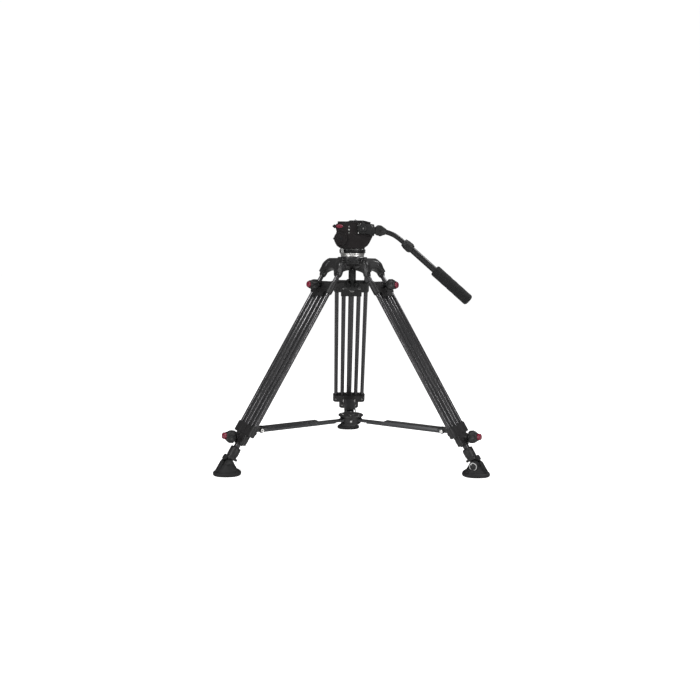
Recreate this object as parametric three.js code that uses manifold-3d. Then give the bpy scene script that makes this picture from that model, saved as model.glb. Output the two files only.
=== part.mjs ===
// Camera tripod with a fluid head: three twin-tube telescoping legs, a mid-level spreader, a 75 mm
// bowl, and a head with a pan handle on its -Y side. Millimetres, +Z up.
// Pieces are laid out with Z = 0 on the floor; the assembly is then lowered so that the origin is
// the centre of the camera plate's top face.
import * as THREE from "three";
import { mergeVertices } from "three/addons/utils/BufferGeometryUtils.js";
import Module from "manifold-3d";

const wasm = await Module();
wasm.setup();

const radians = (degrees) => (degrees * Math.PI) / 180;

// ---------------------------------------------------------------- driving dimensions
const TOP_Z = 767; // camera plate top above the floor
const GAP = 0.35; // running gap round a tube, pin or stud

// Bowl
const BALL_Z = 660; // centre of the bowl's sphere
const BALL_R = 37.5; // 75 mm half ball
const BALL_TOP_Z = 664.7; // flat top of the half ball
const SEAT_R = BALL_R + 0.4; // spherical seat in the crown
const CROWN_UNDER_R = BALL_R + 5.7; // spherical underside of the crown
const CUP_TOP_R = CROWN_UNDER_R + 0.4; // clamp cup, upper and lower spheres
const CUP_UNDER_R = CROWN_UNDER_R + 2.9;
const STUD_R = 5; // clamp stud under the half ball

// Legs
const LEG_AZIMUTHS = [210, 330, 90]; // degrees
const LEG_ANGLE = radians(31.87); // leg axis from vertical
const HINGE_R = 58.6; // leg hinge from the centre axis
const HINGE_Z = 632;
const OUTER_TUBE = { offset: 49, radius: 7 }; // offset from the leg's centre line
const INNER_TUBE = { offset: 25.4, radius: 7.2 };
const CENTRE_TUBE_R = 9.5;
const WALL = 1.5;
const FOOT_S = 707; // foot pivot along the leg from its hinge
const FOOT_PIN_R = 4;

// Spans along the leg, in the leg frame: the hinge is at 0 and z falls towards the foot
const SLIDER = { top: -71, bottom: -107 };
const LEG_CASTING = { top: -575, bottom: -605 };
const MID_CASTING = { top: -605.6, bottom: -636 };
const TUBE_END = 3; // tube's lower end above its casting's underside
const SOCKET_FLOOR = 2.6; // floor left under a blind tube hole

// Clamp screws: z on the leg, lean below the leg's normal (radians), boss length, knob distance
const UPPER_SCREW = { z: -79, lean: 0.52, boss: 15.5, knob: 16 };
const LOWER_SCREW = { z: -616, lean: 0.38, boss: 20, knob: 20.6 };
const SCREW_BOSS_R = 9.5;
const SCREW_BORE_R = 4;

// Spreader
const HUB_PIN = { r: 24, z: 127, radius: 3 }; // r is the distance from the centre axis
const ARM_PIN = { r: 326, z: 126, radius: 3.5 }; // arm pin on the leg

// Head
const TILT_Z = 730; // tilt axis height
const AXLE_R = 8;
const SPIGOT_R = 4; // side spigots and the handle clamp stud
const DIAL = [-38, 709]; // drag dial centre (x, z)
const BUTTON = [-42, 747.3]; // release button centre (x, z)
const PAN_LOCK = [-33, 670]; // pan lock shaft (x, z)

// Pan handle
const ROSETTE = [31, 740]; // clamp axis (x, z)
const ROSETTE_R = 15.5;
const HANDLE_Y = -60; // plane of the handle
const HANDLE_START = [173.2, 686.6]; // start of the straight part (x, z)
const HANDLE_DIRECTION = [0.7565, -0.654]; // of the straight part (x, z)
const HANDLE_ROD_R = 7.6;
const ARM_FACES = [-66.5, -54.2]; // y of the clamp arm's two faces

// ---------------------------------------------------------------- materials
const material = (settings) => new THREE.MeshStandardMaterial(settings);
const materials = {
  cast: material({ color: 0x55555a, roughness: 0.55, metalness: 0.3 }),
  tube: material({ color: 0x3b3b3e, roughness: 0.35, metalness: 0.8 }),
  bracket: material({ color: 0x4a4a4d, roughness: 0.6, metalness: 0.1 }),
  knob: material({ color: 0x3e403f, roughness: 0.6, metalness: 0.0 }),
  rubber: material({ color: 0x4d4e50, roughness: 0.8, metalness: 0.0 }),
  silver: material({ color: 0xc9c9c9, roughness: 0.3, metalness: 0.9 }),
  arm: material({ color: 0x85868a, roughness: 0.5, metalness: 0.4 }),
  dark: material({ color: 0x2c2c2e, roughness: 0.5, metalness: 0.2 }),
  head: material({ color: 0x5a595b, roughness: 0.5, metalness: 0.2 }),
  red: material({ color: 0xa83254, roughness: 0.35, metalness: 0.0 }),
  foam: material({ color: 0x5f6063, roughness: 0.95, metalness: 0.0 }),
};

// ---------------------------------------------------------------- solids and meshes
// Closed manifold solid from a three.js geometry, welded by position alone
function toSolid(geometry) {
  geometry.deleteAttribute("normal");
  geometry.deleteAttribute("uv");
  const welded = mergeVertices(geometry, 1e-4);
  return new wasm.Manifold(
    new wasm.Mesh({
      numProp: 3,
      vertProperties: new Float32Array(welded.attributes.position.array),
      triVerts: new Uint32Array(welded.index.array),
    }),
  );
}

function toGeometry(solid) {
  const { vertProperties, triVerts } = solid.getMesh();
  const geometry = new THREE.BufferGeometry();
  const positions = new Float32Array(vertProperties);
  geometry.setAttribute("position", new THREE.BufferAttribute(positions, 3));
  geometry.setIndex(new THREE.BufferAttribute(new Uint32Array(triVerts), 1));
  geometry.computeVertexNormals();
  return geometry;
}

function addPiece(parent, name, solid, pieceMaterial) {
  const mesh = new THREE.Mesh(toGeometry(solid), pieceMaterial);
  mesh.name = name;
  parent.add(mesh);
}

const union = (...solids) => solids.reduce((sum, solid) => sum.add(solid));
const cut = (body, ...tools) => tools.reduce((rest, tool) => rest.subtract(tool), body);

// Solid turned about Z by an azimuth in degrees
const turned = (solid, azimuth) =>
  solid.transform(new THREE.Matrix4().makeRotationZ(radians(azimuth)).elements);

function box(x0, x1, y0, y1, z0, z1) {
  const geometry = new THREE.BoxGeometry(x1 - x0, y1 - y0, z1 - z0);
  return toSolid(geometry.translate((x0 + x1) / 2, (y0 + y1) / 2, (z0 + z1) / 2));
}

// Cylinder or cone along "y" or "z"; centre holds the other two coordinates in order.
// radius is at the low end and endRadius at the high end.
function cylinderGeometry(
  axis, radius, from, to, centre = [0, 0], segments = 20, endRadius = radius,
) {
  const geometry = new THREE.CylinderGeometry(endRadius, radius, to - from, segments);
  const [first, second] = centre;
  const middle = (from + to) / 2;
  if (axis === "y") return geometry.translate(first, middle, second);
  return geometry.rotateX(Math.PI / 2).translate(first, second, middle);
}
const cylinder = (...sizes) => toSolid(cylinderGeometry(...sizes));

const toVectors = (points) => points.map(([x, y]) => new THREE.Vector2(x, y));

// Closed outline extruded along an axis; its columns are the other two axes in order
function prism(axis, outline, from, to) {
  const clockwise = THREE.ShapeUtils.area(toVectors(outline)) < 0;
  const points = clockwise ? [...outline].reverse() : outline;
  const geometry = new THREE.ExtrudeGeometry(new THREE.Shape(toVectors(points)), {
    depth: to - from,
    bevelEnabled: false,
    steps: 1,
  });
  if (axis === "z") return toSolid(geometry.translate(0, 0, from));
  // depth runs towards -Y after this turn
  if (axis === "y") return toSolid(geometry.rotateX(Math.PI / 2).translate(0, to, 0));
  // cyclic swap: outline x, y and depth become y, z and x
  const swap = new THREE.Matrix4().set(0, 0, 1, 0, 1, 0, 0, 0, 0, 1, 0, 0, 0, 0, 0, 1);
  return toSolid(geometry.applyMatrix4(swap).translate(from, 0, 0));
}

// Body of revolution about Z from (radius, z) points, in either order
function lathe(profile, segments = 28) {
  const revolve = (points) =>
    toSolid(new THREE.LatheGeometry(toVectors(points), segments).rotateX(Math.PI / 2));
  const closed = [...profile, profile[0]];
  const body = revolve(closed);
  return body.volume() < 0 ? revolve(closed.reverse()) : body;
}

// ---------------------------------------------------------------- outlines
// Points on an arc between two angles in degrees
const arc = (x, y, radius, start, end, steps) =>
  Array.from({ length: steps + 1 }, (_, i) => {
    const angle = radians(start + ((end - start) * i) / steps);
    return [x + radius * Math.cos(angle), y + radius * Math.sin(angle)];
  });

const ellipse = ([x, y], radiusX, radiusY, count) =>
  Array.from({ length: count }, (_, i) => {
    const angle = (i / count) * 2 * Math.PI;
    return [x + radiusX * Math.cos(angle), y + radiusY * Math.sin(angle)];
  });

// Lobes between radius low and high; a smaller power makes them blunter
function lobes({ count, low, high, perLobe = 6, phase = 0, power = 0.7 }) {
  return Array.from({ length: count * perLobe }, (_, i) => {
    const angle = (i / (count * perLobe)) * 2 * Math.PI + phase;
    const swell = Math.pow(0.5 + 0.5 * Math.cos(count * (angle - phase)), power);
    const radius = low + (high - low) * swell;
    return [radius * Math.cos(angle), radius * Math.sin(angle)];
  });
}

// Points followed by their mirror images, in reverse order, across the second axis
const mirrored = (points) => [...points, ...points.map(([x, y]) => [-x, y]).reverse()];

const trapezoid = (lowHalf, low, highHalf, high) => [
  [-lowHalf, low], [lowHalf, low], [highHalf, high], [-highHalf, high],
];

// Round-ended outline about a pair of tubes at y = +offset and -offset
const pairOutline = (offset, radius) => [
  ...arc(0, offset, radius, 0, 180, 8),
  ...arc(0, -offset, radius, 180, 360, 8),
];

// ---------------------------------------------------------------- crown and bowl clamp
// (radius, z) points at even heights on a sphere about the bowl's centre
const spherePoints = (radius, from, to, steps) =>
  Array.from({ length: steps + 1 }, (_, i) => {
    const z = from + ((to - from) * i) / steps;
    return [Math.sqrt(radius * radius - (z - BALL_Z) * (z - BALL_Z)), z];
  });

// Bowl ring with a lug and hinge pin for each leg
function crown() {
  const ring = lathe(
    [
      ...spherePoints(SEAT_R, 653, 629.2, 5),
      ...spherePoints(CROWN_UNDER_R, 622.9, 636, 4),
      [44, 637.5], [47.5, 641], [47.5, 651], [46, 653],
    ],
    36,
  );
  const lugOutline = [
    [42, 624.5], [50, 623.5],
    ...arc(HINGE_R, HINGE_Z, 8.5, -80, 80, 7),
    [50, 644], [42, 646],
  ];
  const lug = union(
    prism("y", lugOutline, -18.5, 18.5),
    cylinder("y", 4, -33, 33, [HINGE_R, HINGE_Z], 16),
  );
  return union(ring, ...LEG_AZIMUTHS.map((azimuth) => turned(lug, azimuth)));
}

// Half ball with its clamp stud
function halfBall() {
  const bottom = 632.2;
  const profile = [
    [0, bottom],
    ...spherePoints(BALL_R, bottom, BALL_TOP_Z, 8),
    [0, BALL_TOP_Z],
  ];
  return union(lathe(profile, 36), cylinder("z", STUD_R, 557, 640, [0, 0], 16));
}

// Dish between two spheres about the ball's centre, slotted for the stud
function clampCup() {
  const rim = 30.5;
  const steps = 5;
  const dish = (radius) =>
    Array.from({ length: steps + 1 }, (_, i) => {
      const r = (rim * i) / steps;
      return [r, BALL_Z - Math.sqrt(radius * radius - r * r)];
    });
  const slot = [...arc(8.5, 0, 5.6, -90, 90, 6), ...arc(-8.5, 0, 5.6, 90, 270, 6)];
  return cut(
    lathe([...dish(CUP_TOP_R), ...dish(CUP_UNDER_R).reverse()]),
    prism("z", slot, 600, 640),
  );
}

// Long neck and lobed grip, with a blind bore for the stud
function bowlClampKnob() {
  const neckTop = BALL_Z - CUP_UNDER_R - 0.5;
  const neck = [
    [0, 570], [11.6, 570], [11.4, 578], [11.4, 600], [11.4, neckTop], [0, neckTop],
  ];
  const body = union(
    lathe(neck, 20),
    prism("z", lobes({ count: 8, low: 23.5, high: 26.5, perLobe: 4 }), 552, 574),
    cylinder("z", 24, 574, 576, [0, 0], 20, 20),
    cylinder("z", 19, 549.5, 552, [0, 0], 20, 23),
  );
  return cut(body, cylinder("z", STUD_R + GAP, 555, 620, [0, 0], 16));
}

// Grooved ring above the half ball, with a socket for the pan spindle and a pan lock boss
function panBase() {
  const bore = 8.4;
  const bottom = BALL_TOP_Z + 0.4;
  const top = 676.8;
  const profile = [
    [bore, bottom], [40.5, bottom], [42, 666.5], [42, 671], [40.8, 671.6],
    [40.8, 672.8], [42, 673.4], [42, 676], [41, top], [bore, top],
  ];
  return union(lathe(profile, 36), cylinder("y", 3.4, -41, -22, PAN_LOCK, 12));
}

// ---------------------------------------------------------------- legs
// Leg frame: x is the outward normal, y tangential, z up along the leg, origin at the hinge.
const SIN_LEG = Math.sin(LEG_ANGLE);
const COS_LEG = Math.cos(LEG_ANGLE);
const FOOT_PIVOT = { r: HINGE_R + FOOT_S * SIN_LEG, z: HINGE_Z - FOOT_S * COS_LEG };

// Point at radius r and height z over the floor, as (x, z) in the leg frame
function legPoint(r, z) {
  const dr = r - HINGE_R;
  const dz = z - HINGE_Z;
  return [dr * COS_LEG + dz * SIN_LEG, -dr * SIN_LEG + dz * COS_LEG];
}

const tubeHoles = ({ offset, radius }, from, to) =>
  union(
    cylinder("z", radius + GAP, from, to, [0, offset], 16),
    cylinder("z", radius + GAP, from, to, [0, -offset], 16),
  );

const centreHole = (from, to) => cylinder("z", CENTRE_TUBE_R + GAP, from, to);

// Cylinder along a clamp screw, measured from the leg's centre line
const screwCylinder = ({ z, lean }, radius, from, to, segments) =>
  toSolid(
    cylinderGeometry("z", radius, from, to, [0, 0], segments)
      .rotateY(Math.PI / 2 + lean)
      .translate(0, 0, z),
  );

// Arch over the hinge with a socket for each outer tube
function legYoke() {
  // (y, z)
  const archOutline = [
    ...mirrored([
      [-59.5, -39], [-59.5, -8], [-57.5, -1], [-52.5, 5], [-45, 9.6], [-36, 12.5],
    ]),
    ...mirrored([[38.5, -39], [34, -34], [19, -25.5], [13, -24]]),
  ];
  const crestOutline = [
    ...mirrored([[-50, -22], [-50, -4], [-45, 4], [-35, 9]]),
    ...mirrored([[20, -19]]),
  ];
  const body = union(
    prism("x", archOutline, -6.5, 9.5),
    prism("x", crestOutline, 9.3, 16),
    cylinder("z", 10.5, -43, -2, [0, OUTER_TUBE.offset]),
    cylinder("z", 10.5, -43, -2, [0, -OUTER_TUBE.offset]),
  );
  return cut(
    body,
    box(-30, 9.4, -19.1, 19.1, -11.6, 30), // slot for the crown lug
    cylinder("y", 4.3, -34, 34, [0, 0], 16), // hinge pin bore
    tubeHoles(OUTER_TUBE, -60, -6),
  );
}

// Tube of a pair, open at both ends, on side +1 or -1 of the leg's centre line
function legTube({ offset, radius }, side, bottom, top) {
  const centre = [0, side * offset];
  return cut(
    cylinder("z", radius, bottom, top, centre, 16),
    cylinder("z", radius - WALL, bottom - 1, top + 1, centre, 16),
  );
}

// Wide casting at the outer tubes' lower ends, with a lug and pin for the spreader arm
function legLowerCasting() {
  const { top, bottom } = LEG_CASTING;
  const [pinX, pinZ] = legPoint(ARM_PIN.r, ARM_PIN.z);
  const lugOutline = [
    [-8, -578], [-8, -601], [pinX + 6, pinZ - 8],
    ...arc(pinX, pinZ, 8.5, 290, 110, 8),
    [-20, -565.5], [-9.5, -575.5],
  ];
  const body = union(
    prism("z", pairOutline(OUTER_TUBE.offset, 11), bottom, top),
    prism("y", lugOutline, -16.5, 16.5),
    cylinder("y", ARM_PIN.radius, -22, 22, [pinX, pinZ], 14),
  );
  return cut(
    body,
    tubeHoles(INNER_TUBE, -650, -500),
    centreHole(-650, -500),
    tubeHoles(OUTER_TUBE, bottom + SOCKET_FLOOR, -500),
  );
}

// Bracket running on the outer tubes and holding the inner tubes
function sliderBracket() {
  const { top, bottom } = SLIDER;
  const body = union(
    prism("z", pairOutline(OUTER_TUBE.offset, 10.5), bottom, top),
    box(-10.5, 9.5, -35, 35, -123, bottom + 1), // skirt
    screwCylinder(UPPER_SCREW, SCREW_BOSS_R, 0, UPPER_SCREW.boss, 18),
  );
  return cut(
    body,
    tubeHoles(OUTER_TUBE, -200, 0),
    tubeHoles(INNER_TUBE, -200, -80),
    centreHole(-200, -96),
    screwCylinder(UPPER_SCREW, SCREW_BORE_R, 8, 30, 12),
  );
}

// Narrow casting at the inner tubes' lower ends, with the centre tube's clamp boss
function midLowerCasting() {
  const { top, bottom } = MID_CASTING;
  const body = union(
    prism("z", pairOutline(INNER_TUBE.offset, 11), bottom, top),
    cylinder("z", 16, -638, top, [-2, 0], 22),
    screwCylinder(LOWER_SCREW, SCREW_BOSS_R, 0, LOWER_SCREW.boss, 16),
  );
  return cut(
    body,
    tubeHoles(INNER_TUBE, bottom + SOCKET_FLOOR, -500),
    centreHole(-660, -500),
    screwCylinder(LOWER_SCREW, SCREW_BORE_R, 8, 40, 12),
    box(-30, 40, -40, 40, top, -560), // nothing above the casting's top
  );
}

// Clamp knob along +Z from the origin: neck, three rounded lobes, raised cap
function clampKnob({ phase, lobeStart, lobeEnd, lobeRadius }) {
  const grip = lobes({ count: 3, low: 12.5, high: lobeRadius, phase });
  return union(
    cylinder("z", 7, 0, lobeStart + 2, [0, 0], 14),
    cylinder("z", 13, lobeStart - 2, lobeStart + 2, [0, 0], 18, 16),
    prism("z", grip, lobeStart, lobeEnd),
    cylinder("z", 12, lobeEnd - 1, lobeEnd + 4, [0, 0], 18, 10.8),
    cylinder("z", 10.8, lobeEnd + 4, lobeEnd + 9, [0, 0], 18, 7),
  );
}

function addClampKnob(parent, name, { z, lean, knob }, shape) {
  const holder = new THREE.Group();
  holder.position.set(knob * Math.cos(lean), 0, z - knob * Math.sin(lean));
  holder.rotation.y = Math.PI / 2 + lean;
  addPiece(holder, name, clampKnob(shape), materials.knob);
  parent.add(holder);
}

// Centre tube with its foot collar and pivot eye
function lowerTube() {
  // (radius, z)
  const collar = [
    [0, -690], [13.5, -690], [15.5, -687], [16, -652.5], [14.5, -651], [0, -651],
  ];
  // (x, z)
  const eye = [[-8.5, -680], [8.5, -680], ...arc(0, -FOOT_S, 9, 0, -180, 8)];
  const lip = [[-17.5, -690], [-23, -689], [-23, -684], [-15, -680], [-10, -690]];
  const body = union(
    cylinder("z", CENTRE_TUBE_R, -655, -110),
    lathe(collar, 20),
    prism("y", eye, -7, 7),
    prism("y", lip, -9, 9),
  );
  return cut(
    body,
    cylinder("z", CENTRE_TUBE_R - WALL, -640, 0),
    cylinder("y", FOOT_PIN_R + GAP, -20, 20, [0, -FOOT_S], 14),
  );
}

// Level pad with a flared boot and two cheeks, joined by the pivot pin
function footSolid() {
  const pivotZ = FOOT_PIVOT.z;
  const padOutline = lobes({ count: 3, low: 39, high: 43.5, perLobe: 10, power: 1 });
  // (radius, z)
  const boot = [
    [0, 8], [37, 8], [33, 12.5], [25, 16], [19.5, 23], [16.5, 33], [15.5, 50], [0, 50],
  ];
  // (x, z): the cheeks keep inside a circle about the pivot, so that the collar clears them
  const envelope = [
    [-50, -1], [50, -1], [50, 24], [17, pivotZ - 2],
    ...arc(0, pivotZ, 16, 0, 180, 12),
    [-17, pivotZ - 2], [-50, 24],
  ];
  const body = union(prism("z", padOutline, 0, 10), lathe(boot, 26));
  return union(
    cut(
      body.intersect(prism("y", envelope, -60, 60)),
      box(-40, 40, -7.5, 7.5, pivotZ - 10.5, 60), // slot for the pivot eye
    ),
    cylinder("y", FOOT_PIN_R, -15, 15, [0, pivotZ], 14),
  );
}

// ---------------------------------------------------------------- spreader
const CHANNEL_BOTTOM = 120.6;
const CHANNEL_TOP = 133;
const BAR_TOP = 127.5;
const BAR_HALF = 11.8; // half width of the bar's narrow end

// Outer channel, open below and pinned to the leg
function spreaderChannel() {
  const pin = [ARM_PIN.r, ARM_PIN.z];
  // (x, z)
  const side = [
    [125, CHANNEL_BOTTOM], [125, CHANNEL_TOP], [312, CHANNEL_TOP], [320, CHANNEL_TOP],
    ...arc(...pin, 7, 80, -50, 7),
    [322, CHANNEL_BOTTOM],
  ];
  // (y, z): bevel along the +Y upper edge
  const bevel = [[20.5, 126.9], [20.5, 134], [15, 134], [15.7, 133], [20, 127.2]];
  const bevelCuts = [1, -1].map((sign) =>
    prism("x", bevel.map(([y, z]) => [sign * y, z]), 90, 312),
  );
  return cut(
    prism("y", side, -20, 20),
    box(90, 340, -18, 18, 110, 126.6),
    prism("x", trapezoid(18, 126.5, 13.5, 131.4), 90, 340),
    ...bevelCuts,
    box(313.5, 340, -18, 18, 110, 140), // open end round the leg's lug
    cylinder("y", ARM_PIN.radius + GAP, -30, 30, pin, 14),
  );
}

// Inner bar, pinned to the hub and telescoping in the channel
function spreaderBar() {
  const pin = [HUB_PIN.r, HUB_PIN.z];
  const narrowBottom = 121.5;
  // (x, z)
  const eye = [
    [38, narrowBottom], ...arc(...pin, 6.2, 270, 90, 8), [30, 133], [38, BAR_TOP],
  ];
  const body = union(
    box(64, 165, -13, 13, 119, BAR_TOP),
    box(36, 70, -BAR_HALF, BAR_HALF, narrowBottom, BAR_TOP),
    prism("y", eye, -BAR_HALF, BAR_HALF),
  );
  return cut(body, cylinder("y", HUB_PIN.radius + GAP, -30, 30, pin, 14));
}

// Hub with a rimmed top, and a slot and pin for each bar
function spreaderHub() {
  const slotHalf = BAR_HALF + 0.6;
  const slot = box(15, 60, -slotHalf, slotHalf, 90, 135);
  const pin = cylinder("y", HUB_PIN.radius, -20, 20, [HUB_PIN.r, HUB_PIN.z], 12);
  const body = union(
    lathe([[0, 107], [26, 107], [33, 114], [35, 121], [35, 137.2], [0, 137.2]], 24),
    lathe([[0, 137], [41, 137], [41.5, 138.5], [40, 140.4], [0, 140.4]], 30),
  );
  const slotted = cut(body, ...LEG_AZIMUTHS.map((azimuth) => turned(slot, azimuth)));
  return union(slotted, ...LEG_AZIMUTHS.map((azimuth) => turned(pin, azimuth)));
}

// One leg with its foot and spreader arm
function addLeg(parent, azimuth, index) {
  const number = index + 1;
  const turn = new THREE.Group();
  turn.rotation.z = radians(azimuth);
  parent.add(turn);

  const hinge = new THREE.Group();
  hinge.position.set(HINGE_R, 0, HINGE_Z);
  hinge.rotation.y = -LEG_ANGLE;
  turn.add(hinge);

  const addTubePair = (name, tube, bottom, top) => {
    for (const [letter, side] of [["a", 1], ["b", -1]]) {
      const solid = legTube(tube, side, bottom, top);
      addPiece(hinge, `${name}_${letter}_${number}`, solid, materials.tube);
    }
  };
  addPiece(hinge, `leg_yoke_${number}`, legYoke(), materials.cast);
  addTubePair("outer_tube", OUTER_TUBE, LEG_CASTING.bottom + TUBE_END, -7);
  addPiece(hinge, `leg_lower_casting_${number}`, legLowerCasting(), materials.bracket);
  addPiece(hinge, `slider_bracket_${number}`, sliderBracket(), materials.bracket);
  addTubePair("inner_tube", INNER_TUBE, MID_CASTING.bottom + TUBE_END, -81);
  addPiece(hinge, `mid_lower_casting_${number}`, midLowerCasting(), materials.bracket);

  // each leg's knobs stand at a different turn
  addClampKnob(hinge, `upper_knob_${number}`, UPPER_SCREW, {
    phase: index * 0.9,
    lobeStart: 12,
    lobeEnd: 38,
    lobeRadius: 18.5,
  });
  addClampKnob(hinge, `lower_knob_${number}`, LOWER_SCREW, {
    phase: 0.5 + index * 0.7,
    lobeStart: 5,
    lobeEnd: 30,
    lobeRadius: 20,
  });
  addPiece(hinge, `lower_tube_${number}`, lowerTube(), materials.tube);

  const foot = new THREE.Group();
  foot.position.set(FOOT_PIVOT.r, 0, 0);
  turn.add(foot);
  addPiece(foot, `foot_${number}`, footSolid(), materials.rubber);

  const arm = new THREE.Group();
  turn.add(arm);
  addPiece(arm, `spreader_channel_${number}`, spreaderChannel(), materials.arm);
  addPiece(arm, `spreader_bar_${number}`, spreaderBar(), materials.bracket);
}

// ---------------------------------------------------------------- fluid head
// Base flange, tapered column with a round top, spindle below
function panHousing() {
  // (x, z)
  const column = [
    [-33, 682], [-27, 700], [-15.6, TILT_Z - 3],
    ...arc(0, TILT_Z, 15, 170, 10, 8),
    [15.6, TILT_Z - 3], [27, 700], [33, 682],
  ];
  const body = union(
    prism("y", column, -41.4, 41.4),
    cylinder("z", 39, 677.3, 682.5, [0, 0], 32),
    cylinder("z", 8, 668, 680, [0, 0], 16),
  );
  return cut(
    body,
    cylinder("y", AXLE_R + GAP, -50, 50, [0, TILT_Z], 16),
    // trim the column's foot to the flange's width
    box(-60, 60, 39, 60, 600, 684),
    box(-60, 60, -60, -39, 600, 684),
  );
}

// Two side plates and a deck in one casting, with the tilt axle across
function tiltHousing() {
  // (x, z)
  const outline = [
    [-30, 758.8], [-53, 754.4], [-54, 746], [-50.8, 733], [-54, 722], [-57, 709],
    [-55.5, 698], [-49.5, 688.5], [-40, 682], [-27, 679.3], [27, 679.3], [38, 682],
    [46, 688], [51.5, 696], [56.5, 706], [61, 715.5], [62.5, 721], [62.5, 752],
    [59.5, 755], [54.5, 755], [54.5, 761.5], [40, 761.5],
  ];
  const casting = cut(
    prism("y", outline, -50.5, 50.5),
    box(-70, 70, -42.6, 42.6, 600, 746), // space between the side plates
    prism("x", trapezoid(27, 753.8, 25, 770), -70, 70), // dovetail way for the camera plate
    prism("y", ellipse(BUTTON, 13.6, 7.6, 20), -60, -46), // release button pocket
  );
  return union(
    casting,
    cylinder("y", AXLE_R, -45, 45, [0, TILT_Z], 16),
    cylinder("y", ROSETTE_R, -53.6, -49, ROSETTE),
    cylinder("y", SPIGOT_R, -56.2, -49, DIAL, 12), // drag dial spigot
    cylinder("y", SPIGOT_R, 49, 56.2, [0, TILT_Z], 12), // tilt lock spigot
    cylinder("y", SPIGOT_R, -68.2, -50, ROSETTE, 12), // handle clamp stud
  );
}

// Dovetail foot and chamfered pad
function cameraPlate() {
  // (x, z)
  const pad = [
    [-49, 757.2], [-48, 758.4], [-28, 762.2], [-10, 765.6], [-6, TOP_Z],
    [34, TOP_Z], [45, 765], [49, 761.5], [49, 757.5],
  ];
  return union(
    prism("x", trapezoid(26.5, 754.2, 24.9, 764), -48, 49),
    prism("y", pad, -24.4, 24.4),
  );
}

function releaseButton() {
  return union(
    prism("y", ellipse(BUTTON, 13.1, 7.1, 20), -52.6, -49),
    prism("y", ellipse(BUTTON, 11, 5.6, 20), -54, -52.5),
  );
}

// Round dial with a small pointer on its -X edge
function dragDial() {
  const pointer = [[-58, 706.5], [-62, 707.5], [-62, 710.5], [-58, 711.5]];
  return cut(
    union(cylinder("y", 21.5, -57.4, -51, DIAL, 30), prism("y", pointer, -56.5, -52)),
    cylinder("y", SPIGOT_R + GAP, -56.6, -40, DIAL, 12),
  );
}

// Lever hanging from the tilt axis on the +Y side
function tiltLockLever() {
  const blade = [
    [-6, TILT_Z - 4], [6, TILT_Z - 4], [5, TILT_Z - 36], [0, TILT_Z - 39], [-5, TILT_Z - 36],
  ];
  return cut(
    union(cylinder("y", 9, 51, 60, [0, TILT_Z], 18), prism("y", blade, 56, 61)),
    cylinder("y", SPIGOT_R + GAP, 40, 56.8, [0, TILT_Z], 12),
  );
}

// Shaft from the pan base's boss, with a blade further out than the dial
function panLockLever() {
  const blade = [
    [-36.6, 664.5], [-30, 664], [-28, 667], [-30.2, 678], [-38, 678], [-38.4, 676],
  ];
  return union(
    cylinder("y", 2.1, -62, -41.4, PAN_LOCK, 12),
    prism("y", blade, -63.4, -60.4),
  );
}

// ---------------------------------------------------------------- pan handle
// Cylinder or cone on the handle's straight axis, measured from HANDLE_START
function handleCylinder(radius, from, to, segments, endRadius = radius) {
  const [x, z] = HANDLE_START;
  const [directionX, directionZ] = HANDLE_DIRECTION;
  return toSolid(
    cylinderGeometry("z", radius, from, to, [0, 0], segments, endRadius)
      .rotateY(Math.atan2(directionX, directionZ))
      .translate(x, HANDLE_Y, z),
  );
}

// Bent length of the fixed tube between its socket and the straight part
function handleBend() {
  // centre line (x, z)
  const stations = [
    [88, 734], [98, 731.4], [113, 727.2], [127.6, 721.2], [138, 714.6],
    [147.2, 707.9], [155.6, 701], [164, 694.2], HANDLE_START, [178, 682.45],
  ];
  const centreLine = new THREE.CatmullRomCurve3(
    stations.map(([x, z]) => new THREE.Vector3(x, HANDLE_Y, z)),
    false,
    "centripetal",
  );
  const section = new THREE.Shape(
    toVectors(ellipse([0, 0], HANDLE_ROD_R, HANDLE_ROD_R, 14)),
  );
  return toSolid(
    new THREE.ExtrudeGeometry(section, {
      steps: 14,
      extrudePath: centreLine,
      bevelEnabled: false,
    }),
  );
}

// Rosette clamp arm, tube socket and fixed tube
function handleArm() {
  const [x, z] = ROSETTE;
  // (x, z)
  const block = [
    [x, z - 14], [50, 724], [57, 718], [65, 717.5], [66.5, 724], [74, 724.5],
    [74, 744.5], [66.5, 745.5], [65, 753.5], [52, 755], [x, z + 14],
  ];
  const socket = [
    [70, 722.5], [74, 719.4], [90, 719], [101, 722], [105, 731],
    [104.5, 739], [96, 744.5], [87, 750.5], [76, 751.6], [70, 747],
  ];
  const body = union(
    prism("y", block, ...ARM_FACES),
    prism("y", socket, HANDLE_Y - 12, HANDLE_Y + 12),
    cylinder("y", ROSETTE_R, ...ARM_FACES, ROSETTE),
    handleBend(),
    handleCylinder(HANDLE_ROD_R, 0, 205, 14),
  );
  return cut(body, cylinder("y", SPIGOT_R + GAP, -80, -40, ROSETTE, 12));
}

// Round hub with one upright wing
function handleClampKnob() {
  const [x, z] = ROSETTE;
  const wing = [[x - 5, z], [x - 3.5, z + 19], [x + 3.5, z + 19], [x + 5, z]];
  return cut(
    union(cylinder("y", 8.5, -75, -66.9, ROSETTE, 16), prism("y", wing, -74.5, -70)),
    cylinder("y", SPIGOT_R + GAP, -68.8, -60, ROSETTE, 12),
  );
}

const EXTENSION = { radius: 10.2, bore: 8, start: 8, end: 251 };

// Straight tube over the fixed one
function handleExtension() {
  const { radius, bore, start, end } = EXTENSION;
  return cut(
    handleCylinder(radius, start, end, 18),
    handleCylinder(bore, start - 2, end + 2, 18),
  );
}

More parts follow.
